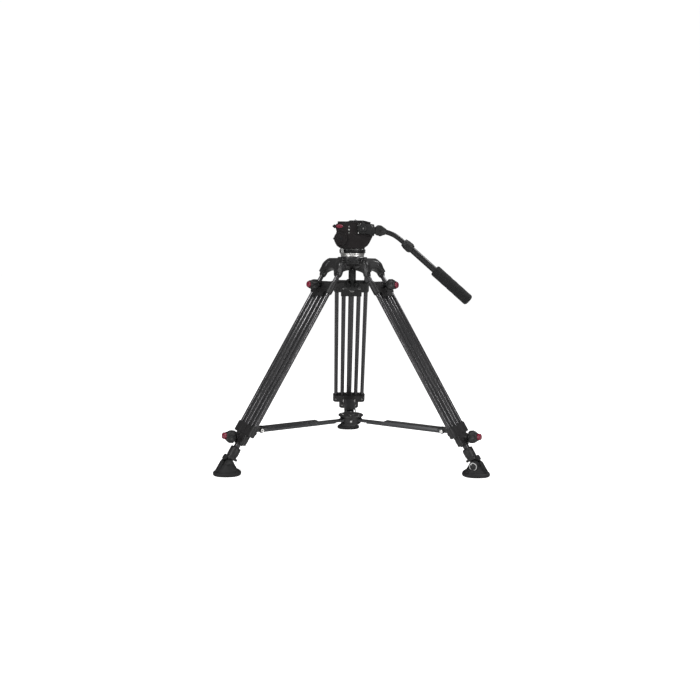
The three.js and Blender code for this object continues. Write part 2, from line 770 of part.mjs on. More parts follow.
// Collar over the extension's upper end
function handleCollar() {
  const body = union(
    handleCylinder(13, -20, -12, 20, 16),
    handleCylinder(16, -12, 8, 20),
    handleCylinder(16, 8, 15, 20, 13),
  );
  return cut(
    body,
    handleCylinder(EXTENSION.bore, -30, 30, 18), // round the fixed tube
    handleCylinder(10.6, 7.6, 30, 18), // round the extension's end
    handleCylinder(11.5, -30, -8, 18), // the fixed tube still bends inside the mouth
  );
}

function handleGrip() {
  const radius = 18;
  const body = union(
    handleCylinder(16, 111, 115, 22, radius),
    handleCylinder(radius, 115, EXTENSION.end, 22),
    handleCylinder(radius, EXTENSION.end, 257, 22, 14),
  );
  return cut(
    body,
    handleCylinder(EXTENSION.radius + GAP, 100, EXTENSION.end + 0.5, 18),
  );
}

// ---------------------------------------------------------------- assembly
const root = new THREE.Group();
const tripod = new THREE.Group();
tripod.position.z = -TOP_Z;
root.add(tripod);

addPiece(tripod, "crown", crown(), materials.cast);
addPiece(tripod, "half_ball", halfBall(), materials.silver);
addPiece(tripod, "clamp_cup", clampCup(), materials.bracket);
addPiece(tripod, "bowl_clamp_knob", bowlClampKnob(), materials.knob);
addPiece(tripod, "pan_base", panBase(), materials.dark);

LEG_AZIMUTHS.forEach((azimuth, index) => addLeg(tripod, azimuth, index));
addPiece(tripod, "spreader_hub", spreaderHub(), materials.bracket);

addPiece(tripod, "pan_housing", panHousing(), materials.dark);
addPiece(tripod, "tilt_housing", tiltHousing(), materials.head);
addPiece(tripod, "camera_plate", cameraPlate(), materials.dark);
addPiece(tripod, "release_button", releaseButton(), materials.red);
addPiece(tripod, "drag_dial", dragDial(), materials.head);
addPiece(tripod, "tilt_lock_lever", tiltLockLever(), materials.dark);
addPiece(tripod, "pan_lock_lever", panLockLever(), materials.silver);

addPiece(tripod, "handle_arm", handleArm(), materials.knob);
addPiece(tripod, "handle_clamp_knob", handleClampKnob(), materials.silver);
addPiece(tripod, "handle_extension", handleExtension(), materials.tube);
addPiece(tripod, "handle_collar", handleCollar(), materials.knob);
addPiece(tripod, "handle_grip", handleGrip(), materials.foam);

export default root;
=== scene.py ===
"""A tripod with a fluid head: meshes, finishes and studio built round its CAD pieces.

Sizes are in mm with Z = 0 on the floor and the tripod standing on the Z axis. SCENE turns them
into scene metres, where the height TOP_Z is zero. The lens looks along +Y; the pan handle hangs
on the head's -Y side and slopes down towards +X.
"""
import math

import bmesh
import bpy
from mathutils import Matrix, Vector

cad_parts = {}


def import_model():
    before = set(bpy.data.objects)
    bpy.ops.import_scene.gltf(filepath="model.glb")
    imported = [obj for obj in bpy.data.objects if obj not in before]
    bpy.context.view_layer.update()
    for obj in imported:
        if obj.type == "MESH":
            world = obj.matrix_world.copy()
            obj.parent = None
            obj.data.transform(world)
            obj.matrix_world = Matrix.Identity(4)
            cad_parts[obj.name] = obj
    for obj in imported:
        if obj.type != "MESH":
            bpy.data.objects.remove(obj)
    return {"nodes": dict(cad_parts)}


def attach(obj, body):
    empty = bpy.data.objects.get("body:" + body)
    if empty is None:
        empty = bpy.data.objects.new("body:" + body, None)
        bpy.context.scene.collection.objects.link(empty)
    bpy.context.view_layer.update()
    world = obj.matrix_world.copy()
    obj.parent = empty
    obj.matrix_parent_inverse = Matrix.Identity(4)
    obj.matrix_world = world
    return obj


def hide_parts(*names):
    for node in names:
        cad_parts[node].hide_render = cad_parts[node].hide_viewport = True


cad_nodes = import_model()["nodes"]
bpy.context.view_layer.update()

# ------------------------------------------------------------------ places (mm)
TOP_Z = 767.0
SPLAY = math.radians(31.87)  # lean of a leg from the vertical
HINGE_RADIUS, HINGE_Z = 58.6, 632.0
AZIMUTHS = (210, 330, 90)  # degrees, legs 1 to 3
OUTER_Y, INNER_Y = 49.0, 25.4  # tube axes either side of a leg's middle
FOOT_PIVOT = 707  # hinge to foot pivot, down the leg
FOOT_RADIUS = HINGE_RADIUS + FOOT_PIVOT * math.sin(SPLAY)
FOOT_Z = HINGE_Z - FOOT_PIVOT * math.cos(SPLAY)
BALL_Z, BALL_RADIUS = 660, 37.5
JOINT_X, JOINT_Z = 31, 740  # axis of the handle's rosette, along Y
HANDLE_Y = -60
DIAL_X, DIAL_Z = -38, 709
BUTTON_X, BUTTON_Z = -42, 747.3
QUARTER = math.pi / 2


def move(x, y, z):
    return Matrix.Translation((x, y, z))


def turn_x(angle):
    return Matrix.Rotation(angle, 4, "X")


def turn_y(angle):
    return Matrix.Rotation(angle, 4, "Y")


def turn_z(angle):
    return Matrix.Rotation(angle, 4, "Z")


def toward_x(side):
    """Lays local +Z along +X (side 1) or -X (side -1)."""
    return turn_y(side * QUARTER)


def toward_y(side):
    """Lays local +Z along +Y (side 1) or -Y (side -1)."""
    return turn_x(-side * QUARTER)


SCENE = move(0, 0, -TOP_Z / 1000) @ Matrix.Scale(0.001, 4)
# By leg number. Arm frame: +X outward, Z up. Leg frame: origin at the hinge, -Z down the leg,
# +X out of its outer face.
ARM_FRAME = {n: SCENE @ turn_z(math.radians(a)) for n, a in enumerate(AZIMUTHS, 1)}
LEG_FRAME = {
    n: arm @ move(HINGE_RADIUS, 0, HINGE_Z) @ turn_y(-SPLAY) for n, arm in ARM_FRAME.items()
}
# Handle tube: origin on its axis, +Z down the tube.
HANDLE_FRAME = move(173.2, HANDLE_Y, 686.6) @ turn_y(math.atan2(0.7565, -0.654))


# ------------------------------------------------------------------ materials
def feed(tree, node, inputs):
    """Links each input that is given a socket and sets the others."""
    for key, value in inputs.items():
        if isinstance(value, bpy.types.NodeSocket):
            tree.links.new(value, node.inputs[key])
        else:
            node.inputs[key].default_value = value


def add_node(tree, kind, inputs, **settings):
    node = tree.nodes.new("ShaderNode" + kind)
    for key, value in settings.items():
        setattr(node, key, value)
    feed(tree, node, inputs)
    return node


def map_range(tree, value, low, high):
    """Maps value from 0..1 to low..high."""
    inputs = {"To Min": low, "To Max": high, "Value": value}
    return add_node(tree, "MapRange", inputs).outputs["Result"]


def mix_color(tree, factor, a, b, **settings):
    inputs = {"Factor": factor, "A": a, "B": b}
    return add_node(tree, "Mix", inputs, data_type="RGBA", **settings).outputs["Result"]


def worn_and_lit_edge_mask(tree, breakup, amount):
    """Broken mask along sharp edges, where the bevelled normal leaves the true one; it carries worn
    paint and a painted edge highlight.
    """
    bevel = add_node(tree, "Bevel", {"Radius": 0.0011}, samples=4)
    normal = add_node(tree, "NewGeometry", {}).outputs["Normal"]
    dot = add_node(tree, "VectorMath", {0: bevel.outputs[0], 1: normal}, operation="DOT_PRODUCT")
    inputs = {"From Min": 0.97, "From Max": 0.80, "Value": dot.outputs["Value"]}
    edge = add_node(tree, "MapRange", inputs).outputs["Result"]
    patches = map_range(tree, breakup, -0.2 * amount, 1.9 * amount)
    mask = add_node(tree, "Math", {0: edge, 1: patches}, operation="MULTIPLY", use_clamp=True)
    return mask.outputs[0]


def material(name, color, *, rough, bump, metal=0.0, vary=0.12, grain=1500.0, depth=0.00003,
             wear_and_sheen=None, wear_and_sheen_amount=0.0, streak=None, coat=0.0, spec=0.5, pits=None, sheen=0.0,
             rough_var=0.08):
    """A finish with broad colour drift, fine grain, uneven gloss and optional edges in another
    colour, partly worn paint and partly a painted highlight.

    vary and rough_var are the spread of colour and roughness, grain the fine noise scale,
    bump and depth (metres) the relief, wear_and_sheen the colour of the edges (worn paint and a
    painted edge highlight in one), streak the noise scale per axis for drawn marks, pits the scale
    of small cells.
    """
    finish = bpy.data.materials.new(name)
    finish.use_nodes = True
    tree = finish.node_tree
    place = add_node(tree, "TexCoord", {}).outputs["Object"]

    def noise(scale, detail, vector=place):
        inputs = {"Scale": scale, "Detail": detail, "Roughness": 0.55, "Vector": vector}
        return add_node(tree, "TexNoise", inputs).outputs["Fac"]

    broad = noise(scale=28.0, detail=4.0)
    fine = noise(scale=grain, detail=2.0)
    darker = (*[c * (1 - vary) for c in color], 1)
    lighter = (*[min(1, c * (1 + vary)) for c in color], 1)
    base = mix_color(tree, map_range(tree, broad, 0.0, 1.0), darker, lighter)
    tint = map_range(tree, fine, 0.55, 1.45)
    specks = add_node(tree, "CombineColor", {i: tint for i in range(3)}).outputs[0]
    base = mix_color(tree, 0.35, base, specks, blend_type="MULTIPLY")
    # Sharp edges take the edge colour: partly worn paint, and on the dark finishes partly a painted
    # highlight along the edges.
    if wear_and_sheen:
        mask = worn_and_lit_edge_mask(tree, noise(scale=160.0, detail=4.0), wear_and_sheen_amount)
        base = mix_color(tree, mask, base, (*wear_and_sheen, 1))

    cloud = noise(scale=75.0, detail=5.0)
    gloss = map_range(tree, cloud, max(0.03, rough - rough_var), min(1, rough + rough_var))

    height = fine
    if streak:
        stretched = add_node(tree, "Mapping", {"Scale": streak, "Vector": place})
        height = noise(scale=1.0, detail=3.0, vector=stretched.outputs["Vector"])
    if pits:
        cells = add_node(tree, "TexVoronoi", {"Scale": pits, "Vector": place})
        cell_height = map_range(tree, cells.outputs["Distance"], 0.0, 1.2)
        total = add_node(tree, "Math", {0: cell_height, 1: height}, operation="ADD")
        height = total.outputs[0]
    relief = add_node(tree, "Bump", {"Strength": bump, "Distance": depth, "Height": height})

    feed(tree, tree.nodes["Principled BSDF"], {
        "Base Color": base,
        "Metallic": metal,
        "Roughness": gloss,
        "Specular IOR Level": spec,
        "Coat Weight": coat,
        "Coat Roughness": 0.25,
        "Sheen Weight": sheen,
        "Normal": relief.outputs[0],
    })
    return finish


CAST = material("cast_paint", (0.0135, 0.0131, 0.0137), rough=0.38, grain=1300, bump=0.5,
                depth=0.00013, wear_and_sheen=(0.075, 0.075, 0.078), wear_and_sheen_amount=0.22, coat=0.18)
TUBE = material("anodised_tube", (0.0720, 0.0705, 0.0735), rough=0.25, metal=0.5, grain=1600,
                bump=0.05, depth=0.00002, wear_and_sheen=(0.05, 0.05, 0.053), wear_and_sheen_amount=0.1,
                rough_var=0.012, spec=0.65)
# A lighter copy of cast_paint, with lighter edges too: painted light on the crown.
LIT_CROWN_PAINT = material("crown_paint_lit", (0.020, 0.020, 0.021), rough=0.34, grain=1300, bump=0.5,
                 depth=0.00013, wear_and_sheen=(0.14, 0.14, 0.145), wear_and_sheen_amount=0.25, coat=0.2)
BRACKET = material("bracket_plastic", (0.0150, 0.0142, 0.0148), rough=0.44, grain=1700,
                   bump=0.55, depth=0.00012, wear_and_sheen=(0.05, 0.05, 0.053), wear_and_sheen_amount=0.2)
KNOB = material("knob_plastic", (0.0090, 0.0092, 0.0093), rough=0.48, bump=0.5,
                depth=0.0001, wear_and_sheen=(0.05, 0.05, 0.052), wear_and_sheen_amount=0.18)
RUBBER = material("foot_rubber", (0.0110, 0.0110, 0.0115), rough=0.62, grain=700, bump=0.7,
                  depth=0.00022, spec=0.4, vary=0.2, rough_var=0.12)
SILVER = material("machined_metal", (0.86, 0.85, 0.83), rough=0.40, metal=1.0, vary=0.05,
                  grain=900, bump=0.25, depth=0.00004, streak=(40, 40, 9000), rough_var=0.07)
BOLT = material("plated_steel", (0.50, 0.50, 0.49), rough=0.32, metal=1.0, vary=0.08, bump=0.2)
DARK_STEEL = material("black_oxide_steel", (0.028, 0.028, 0.030), rough=0.32, metal=0.85,
                      vary=0.1, bump=0.2)
ARM = material("arm_anodised", (0.060, 0.061, 0.064), rough=0.36, metal=0.6, bump=0.25,
               depth=0.00006, wear_and_sheen=(0.14, 0.14, 0.145), wear_and_sheen_amount=0.2)
BLACK = material("satin_black", (0.0070, 0.0070, 0.0076), rough=0.38, bump=0.35,
                 depth=0.00009, wear_and_sheen=(0.045, 0.045, 0.047), wear_and_sheen_amount=0.2)
HEAD = material("head_paint", (0.0074, 0.0052, 0.0055), rough=0.42, grain=1150, bump=0.55,
                depth=0.00013, wear_and_sheen=(0.065, 0.065, 0.067), wear_and_sheen_amount=0.2, coat=0.03, spec=0.3)
PLATE = material("plate_anodised", (0.0085, 0.0085, 0.0092), rough=0.34, metal=0.3, grain=1800,
                 bump=0.2, depth=0.00005, wear_and_sheen=(0.12, 0.12, 0.125), wear_and_sheen_amount=0.28)
PAD = material("plate_rubber", (0.0080, 0.0080, 0.0085), rough=0.74, grain=600, bump=0.8,
               depth=0.0002, spec=0.3)
RED = material("red_plastic", (0.200, 0.006, 0.028), rough=0.25, vary=0.08, bump=0.10,
               depth=0.00004, coat=0.3, rough_var=0.05)
FOAM = material("grip_foam", (0.0115, 0.0118, 0.0122), rough=0.84, grain=1100, bump=0.9,
                depth=0.00035, pits=1500, spec=0.28, vary=0.15, sheen=0.10, rough_var=0.06)
WHITE = material("dial_white", (0.62, 0.62, 0.60), rough=0.5, vary=0.05, bump=0.15)
GREY = material("dot_grey", (0.26, 0.26, 0.25), rough=0.45, vary=0.05, bump=0.15)
SATIN = material("satin_silver", (0.62, 0.62, 0.61), rough=0.38, metal=0.25, vary=0.06, bump=0.15)
# Near black, darker than any finish here: painted shade in the plate's slot, in the foot's ringed
# recess and behind the rosette.
PAINTED_SHADE_BLACK = material("painted_shade_black", (0.0030, 0.0030, 0.0032), rough=0.7, grain=900, bump=0.3,
                  depth=0.0001, spec=0.25)
VIAL = material("level_fluid", (0.30, 0.48, 0.05), rough=0.12, vary=0.06, grain=300, bump=0.03,
                coat=0.8)


# ------------------------------------------------------------------ pieces
class Piece:
    """Closed shells gathered into one mesh, each shell with its own finish."""

    def __init__(self, name, frame=SCENE):
        self.name, self.frame = name, frame
        self.mesh = bmesh.new()
        self.finishes = []

    def add(self, shell, finish, at=Matrix.Identity(4)):
        """Adds a bmesh, placed by at inside the piece's frame."""
        if finish not in self.finishes:
            self.finishes.append(finish)
        for face in shell.faces:
            face.material_index = self.finishes.index(finish)
        bmesh.ops.recalc_face_normals(shell, faces=shell.faces[:])
        placed = bpy.data.meshes.new("tmp")
        shell.to_mesh(placed)
        shell.free()
        placed.transform(self.frame @ at)
        self.mesh.from_mesh(placed)
        bpy.data.meshes.remove(placed)

    def screw(self, finish, at, radius, height):
        """Round head with a round socket, standing on the plane z = 0 of at."""
        floor_z = height - 1.3
        profile = [(0, -0.6), (radius, -0.6), (radius, height), (radius * 0.52, height),
                   (radius * 0.5, floor_z), (0, floor_z)]
        self.add(turned(profile, 28, 0.35), finish, at)

    def to_object(self):
        mesh = bpy.data.meshes.new(self.name)
        self.mesh.to_mesh(mesh)
        self.mesh.free()
        for finish in self.finishes:
            mesh.materials.append(finish)
        made = bpy.data.objects.new(self.name, mesh)
        bpy.context.scene.collection.objects.link(made)
        return made

    def done(self, body, node=None, angle=34, cutter=None):
        """Makes the object; angle (degrees) is where smooth shading breaks."""
        made = self.to_object()
        if cutter:
            carve(made, cutter.to_object())
        for face in made.data.polygons:
            face.use_smooth = True
        made.data.set_sharp_from_angle(angle=math.radians(angle))
        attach(made, body)
        if node:
            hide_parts(node)


def carve(target, cutter):
    """Cuts cutter out of target for good and removes it."""
    cut = target.modifiers.new("cut", "BOOLEAN")
    cut.operation = "DIFFERENCE"
    cut.solver = "EXACT"
    cut.use_self = True
    cut.object = cutter
    cut.material_mode = "TRANSFER"
    bpy.context.view_layer.update()
    depsgraph = bpy.context.evaluated_depsgraph_get()
    carved = bpy.data.meshes.new_from_object(target.evaluated_get(depsgraph))
    target.modifiers.clear()
    target.data = carved
    bpy.data.objects.remove(cutter)


# ------------------------------------------------------------------ shapes
def around(count):
    """Angles of count even steps round a circle."""
    return [2 * math.pi * i / count for i in range(count)]


def arc(cx, cy, radius, start, end, steps):
    """Points on an arc, angles in degrees."""
    angles = [math.radians(start + (end - start) * i / steps) for i in range(steps + 1)]
    return [(cx + radius * math.cos(a), cy + radius * math.sin(a)) for a in angles]


def stadium(x0, x1, radius, steps):
    """Outline with round ends centred at x0 and x1."""
    return arc(x1, 0, radius, -90, 90, steps) + arc(x0, 0, radius, 90, 270, steps)


def bridge(mesh, row, next_row):
    """Faces between two rows of one loop; a row of one vertex closes to a point."""
    count = max(len(row), len(next_row))
    for i in range(count):
        j = (i + 1) % count
        if len(row) == 1:
            mesh.faces.new((row[0], next_row[i], next_row[j]))
        elif len(next_row) == 1:
            mesh.faces.new((row[i], next_row[0], row[j]))
        else:
            mesh.faces.new((row[i], next_row[i], next_row[j], row[j]))


def close_rows(mesh, rows):
    """Skins the rows and caps both ends."""
    for row, next_row in zip(rows, rows[1:]):
        bridge(mesh, row, next_row)
    mesh.faces.new(rows[0])
    mesh.faces.new(rows[-1])
    bmesh.ops.recalc_face_normals(mesh, faces=mesh.faces[:])
    return mesh


def prism(axis, outline, start, end, round_, segments=2):
    """Outline in the two other axes, in order, drawn along axis; sharp edges rounded."""
    mesh = bmesh.new()
    put = {
        "x": lambda u, v, w: (w, u, v),
        "y": lambda u, v, w: (u, w, v),
        "z": lambda u, v, w: (u, v, w),
    }[axis]
    low = [mesh.verts.new(put(u, v, start)) for u, v in outline]
    high = [mesh.verts.new(put(u, v, end)) for u, v in outline]
    mesh.faces.new(low)
    mesh.faces.new(high[::-1])
    count = len(outline)
    for i in range(count):
        j = (i + 1) % count
        mesh.faces.new((low[i], high[i], high[j], low[j]))
    bmesh.ops.recalc_face_normals(mesh, faces=mesh.faces[:])
    if round_ > 0:
        edges = [
            e for e in mesh.edges
            if len(e.link_faces) == 2 and e.calc_face_angle(0) > math.radians(30)
        ]
        bmesh.ops.bevel(mesh, geom=edges, offset=round_, segments=segments, profile=0.6,
                        affect="EDGES", clamp_overlap=True)
    return mesh


def block(x0, x1, y0, y1, z0, z1, round_, segments=2):
    return prism("z", [(x0, y0), (x1, y0), (x1, y1), (x0, y1)], z0, z1, round_, segments)


def rounded_corner(before, corner, after, radius, steps):
    corner = Vector(corner)
    back, ahead = Vector(before) - corner, Vector(after) - corner
    reach = min(radius, back.length * 0.45, ahead.length * 0.45)
    if reach < 0.05:
        return [tuple(corner)]
    start, end = corner + back.normalized() * reach, corner + ahead.normalized() * reach
    return [
        tuple(start * (1 - t) ** 2 + corner * 2 * t * (1 - t) + end * t * t)
        for t in (j / steps for j in range(steps + 1))
    ]


def turned(profile, segments, round_, shape=None, closed=False, steps=3):
    """Solid of revolution about Z from (radius, z) points.

    An open profile starts and ends on the axis; a closed one makes a ring. Corners are rounded
    in the given steps. shape(angle, radius, z) may change the radius.
    """
    points = []
    for i, corner in enumerate(profile):
        if not closed and i in (0, len(profile) - 1):
            points.append(corner)
        else:
            after = profile[(i + 1) % len(profile)]
            points += rounded_corner(profile[i - 1], corner, after, round_, steps)
    mesh = bmesh.new()
    rows = []
    for radius, z in points:
        if radius < 1e-6:
            rows.append([mesh.verts.new((0, 0, z))])
            continue
        row = []
        for a in around(segments):
            reach = shape(a, radius, z) if shape else radius
            row.append(mesh.verts.new((reach * math.cos(a), reach * math.sin(a), z)))
        rows.append(row)
    if closed:
        rows.append(rows[0])
    for row, next_row in zip(rows, rows[1:]):
        bridge(mesh, row, next_row)
    bmesh.ops.recalc_face_normals(mesh, faces=mesh.faces[:])
    return mesh


def stud(radius, end_radius, z0, z1, segments, round_, peak=None):
    """Short cone from z0 to z1; peak is the height of its end on the axis."""
    tip = z1 if peak is None else peak
    return turned([(0, z0), (radius, z0), (end_radius, z1), (0, tip)], segments, round_)


def rod(radius, z0, z1, segments, round_):
    return stud(radius, radius, z0, z1, segments, round_)


def pipe(radius, bore, z0, z1, segments=40, round_=0.4):
    """Hollow straight tube along Z with eased ends."""
    wall = [(bore, z0), (radius, z0), (radius, z1), (bore, z1)]
    return turned(wall, segments, round_, closed=True, steps=2)


def sweep(path, radius, segments):
    """Round bar along a path in an XZ plane, its ends closed and eased."""
    points = [Vector(p) for p in path]
    ease = 0.12 * radius
    first_step = (points[0] - points[1]).normalized() * ease
    last_step = (points[-1] - points[-2]).normalized() * ease
    points[1:1] = [points[0] - first_step]
    points[-1:-1] = [points[-1] - last_step]
    # the eased points take the place of the path's own points in the radius list only
    last = len(points) - 1
    across = Vector((0, 1, 0))
    mesh = bmesh.new()
    rows = []
    for i, point in enumerate(points):
        if i == 0:
            along = points[1] - point
        elif i == last:
            along = point - points[-2]
        else:
            along = (points[i + 1] - point).normalized() + (point - points[i - 1]).normalized()
        along.normalize()
        side = along.cross(across)
        reach = radius * 0.86 if i in (0, last) else radius
        rows.append([
            mesh.verts.new(point + (across * math.cos(a) + side * math.sin(a)) * reach)
            for a in around(segments)
        ])
    return close_rows(mesh, rows)


def loft(sections, segments=40, power=2.4):
    """Body through rounded sections (centre x, centre y, z, half width x, half width y)."""
    mesh = bmesh.new()
    rows = []
    swell = 2 / power
    for cx, cy, z, rx, ry in sections:
        row = []
        for a in around(segments):
            c, s = math.cos(a), math.sin(a)
            x = cx + rx * math.copysign(abs(c) ** swell, c)
            y = cy + ry * math.copysign(abs(s) ** swell, s)
            row.append(mesh.verts.new((x, y, z)))
        rows.append(row)
    return close_rows(mesh, rows)


def lobes(count, depth, full_radius, power, phase=0.0):
    """Shape function: hollows between count lobes, at full depth beyond full_radius."""

    def shape(a, radius, z):
        wave = 0.5 + 0.5 * math.cos(count * (a - phase))
        return radius - depth * min(1.0, radius / full_radius) * (1 - wave**power)

    return shape


def spline(controls, steps=7):
    """Catmull-Rom curve through the control points."""
    points = [Vector(c) for c in controls]
    points = [2 * points[0] - points[1]] + points + [2 * points[-1] - points[-2]]
    curve = []
    for a, b, c, d in zip(points, points[1:], points[2:], points[3:]):
        for t in (j / steps for j in range(steps)):
            curve.append(0.5 * ((2 * b) + (c - a) * t + (2 * a - 5 * b + 4 * c - d) * t**2
                                + (3 * b - a - 3 * c + d) * t**3))
    curve.append(points[-2])
    return curve


# ------------------------------------------------------------------ CAD pieces that keep their shape
def cad_finish(names, finish, bevel, segments=2):
    """Merges flat faces, rounds edges by bevel (metres) and assigns the finish."""
    for name in names:
        part = cad_nodes[name]
        part.data.materials.clear()
        part.data.materials.append(finish)
        for face in part.data.polygons:
            face.use_smooth = True
            face.material_index = 0
        weld = part.modifiers.new("weld", "WELD")
        weld.merge_threshold = 0.00002
        flat = part.modifiers.new("flat", "DECIMATE")
        flat.decimate_type = "DISSOLVE"
        flat.angle_limit = math.radians(1.5)
        edge = part.modifiers.new("edge", "BEVEL")
        edge.width = bevel
        edge.segments = segments
        edge.limit_method = "ANGLE"
        edge.angle_limit = math.radians(30)
        edge.use_clamp_overlap = True
        edge.miter_outer = "MITER_ARC"
        normals = part.modifiers.new("normals", "WEIGHTED_NORMAL")
        normals.keep_sharp = True
        normals.weight = 60
        part.data.set_sharp_from_angle(angle=math.radians(38))


def per_leg(*stems):
    return [f"{stem}_{n}" for stem in stems for n in (1, 2, 3)]


def finish_cad():
    castings = per_leg("leg_lower_casting", "mid_lower_casting", "slider_bracket")
    cad_finish(castings, BRACKET, bevel=0.0007)
    cad_finish(per_leg("spreader_channel"), ARM, bevel=0.0009)
    cad_finish(per_leg("spreader_bar"), ARM, bevel=0.0008)
    cad_finish(["spreader_hub"], BRACKET, bevel=0.0006)
    cad_finish(["crown"], LIT_CROWN_PAINT, bevel=0.0012, segments=3)
    cad_finish(["clamp_cup"], BRACKET, bevel=0.0004)
    cad_finish(["pan_housing"], BLACK, bevel=0.0006)
    cad_finish(["tilt_housing"], HEAD, bevel=0.0009)
    cad_finish(["camera_plate"], PLATE, bevel=0.0005)
    cad_finish(["tilt_lock_lever"], BLACK, bevel=0.0008)
    cad_finish(["pan_lock_lever"], BOLT, bevel=0.0005)


# ------------------------------------------------------------------ bowl
def half_ball():
    piece = Piece("half_ball_shell")
    bottom = 632.2
    profile = [(0, bottom)]
    for z in (bottom, 636, 640, 645, 650, 655):
        profile.append((math.sqrt(BALL_RADIUS**2 - (z - BALL_Z) ** 2), z))
    profile += [(BALL_RADIUS, 660.9), (38.7, 661.4), (39.4, 662.2), (39.4, 664.0),
                (38.7, 664.7), (0, 664.7)]
    piece.add(turned(profile, 96, 0.5), SILVER)
    piece.add(rod(5, 557, 634, 24, 0.6), BOLT)
    piece.done("ball", "half_ball", angle=40)


def pan_base():
    piece = Piece("pan_base_ring")
    profile = [  # radius, z
        (8.4, 665.1), (38.5, 665.1), (41.2, 666.2), (42, 667.2), (42, 668.6), (41.2, 668.9),
        (41.2, 669.6), (42, 669.9), (42, 671.2), (40.6, 671.6), (40.6, 672.6), (42, 673.0),
        (42, 675.6), (40.6, 676.8), (8.4, 676.8),
    ]
    piece.add(turned(profile, 96, 0.35, closed=True, steps=2), BLACK)
    bead = [(39.2, 676.0), (41.0, 676.0), (40.8, 677.4), (40.2, 677.9), (39.4, 677.4)]
    piece.add(turned(bead, 96, 0.25, closed=True, steps=2), BOLT)
    for i, a in enumerate(around(48)):  # scale marks on the upper band, every fourth longer
        length = 1.1 if i % 4 else 1.9
        mark = block(41.85, 42.12, -0.18, 0.18, 674.9 - length, 675.0, 0.0)
        piece.add(mark, WHITE, turn_z(a))
    piece.add(rod(3.4, 22, 41, 28, 0.6), BLACK, move(-33, 0, 670) @ toward_y(-1))
    piece.done("ball", "pan_base", angle=36)


def bowl_knob():
    piece = Piece("bowl_knob_grip")
    neck = [(0, 613.3), (11.3, 613.3), (11.2, 600), (11.6, 584), (12.6, 577), (12.8, 570),
            (0, 570)]
    piece.add(turned(neck, 56, 0.6), KNOB)
    for a in around(16):  # ribs down the neck
        piece.add(block(10.7, 12.0, -0.6, 0.6, 584, 609, 0.4), KNOB, turn_z(a))
    grip = [(0, 572), (21, 572), (25.5, 570.8), (26.5, 567), (26.5, 558), (24.5, 553),
            (19, 549.6), (0, 549.6)]
    lobed = lobes(8, depth=1.6, full_radius=10.0, power=0.75)
    piece.add(turned(grip, 128, 1.6, shape=lobed, steps=4), KNOB)
    for a in around(8):  # teeth round the top rim
        piece.add(block(14.5, 25.6, -5.0, 5.0, 569, 576.6, 1.2, 3), KNOB, turn_z(a))
    piece.add(rod(9, 551, 548.3, 40, 0.5), DARK_STEEL)
    # a shallow bright crescent below, on a short stem
    angles = [math.radians(a) for a in range(-172, -7, 11)]
    crescent = [(7.0 * math.cos(a), 0, 547.4 + 6.0 * math.sin(a)) for a in angles]
    piece.add(sweep(crescent, 1.35, 14), BOLT)
    piece.add(rod(2.0, 541, 549, 24, 0.4), BOLT)
    piece.done("bowl_knob", "bowl_clamp_knob", angle=36)


# ------------------------------------------------------------------ legs (leg is 1 to 3)
def side_tubes(leg, stem, body, offset, radius, bottom, top):
    """Two tubes either side of the leg's middle, walls 1.5 thick."""
    for side, y in (("a", offset), ("b", -offset)):
        piece = Piece(f"{stem}_tube_skin_{side}_{leg}", LEG_FRAME[leg])
        piece.add(pipe(radius, radius - 1.5, bottom, top), TUBE, move(0, y, 0))
        piece.done(body, f"{stem}_tube_{side}_{leg}")


def yoke(leg):
    """Rounded arch whose two arms swell and taper into the tube sockets."""
    frame = LEG_FRAME[leg]
    piece = Piece(f"yoke_casting_{leg}", frame)
    outline = [  # y, z
        (-59.5, -38), (-59.8, -10), (-58.0, -2), (-53.0, 4.6), (-45.0, 9.8), (-36.0, 12.5),
        (36.0, 12.5), (45.0, 9.8), (53.0, 4.6), (58.0, -2), (59.8, -10), (59.5, -38),
        (39.0, -38), (34.0, -32), (20.0, -25.6), (13.0, -24), (-13.0, -24), (-20.0, -25.6),
        (-34.0, -32), (-39.0, -38),
    ]
    piece.add(prism("x", outline, -6.5, 14.5, 3.2, 4), CAST)
    arm = [  # centre x, centre y, z, half width x, half width y
        (0, 49, -44.4, 9.3, 9.3), (0, 49, -43.6, 10.4, 10.4), (0, 49, -38.5, 10.6, 10.6),
        (0.8, 48.6, -35.5, 11.4, 11.0), (2.6, 47.0, -29, 12.4, 13.0),
        (5.0, 44.5, -21, 13.2, 15.4), (6.8, 41.5, -12, 13.4, 17.6),
        (7.0, 38.0, -4, 12.8, 18.2), (5.6, 34.5, 3, 10.4, 16.6),
        (4.0, 32.0, 8, 7.0, 13.5), (3.4, 31.0, 10.6, 3.6, 9.5),
    ]
    for side in (1, -1):
        piece.add(loft([(cx, side * cy, z, rx, ry) for cx, cy, z, rx, ry in arm]), CAST)
    notch = Piece("cutter", frame)
    notch.add(block(-30, 9.4, -19.1, 19.1, -11.6, 30, 0.0), CAST)
    piece.done(f"leg{leg}_upper", f"leg_yoke_{leg}", angle=38, cutter=notch)


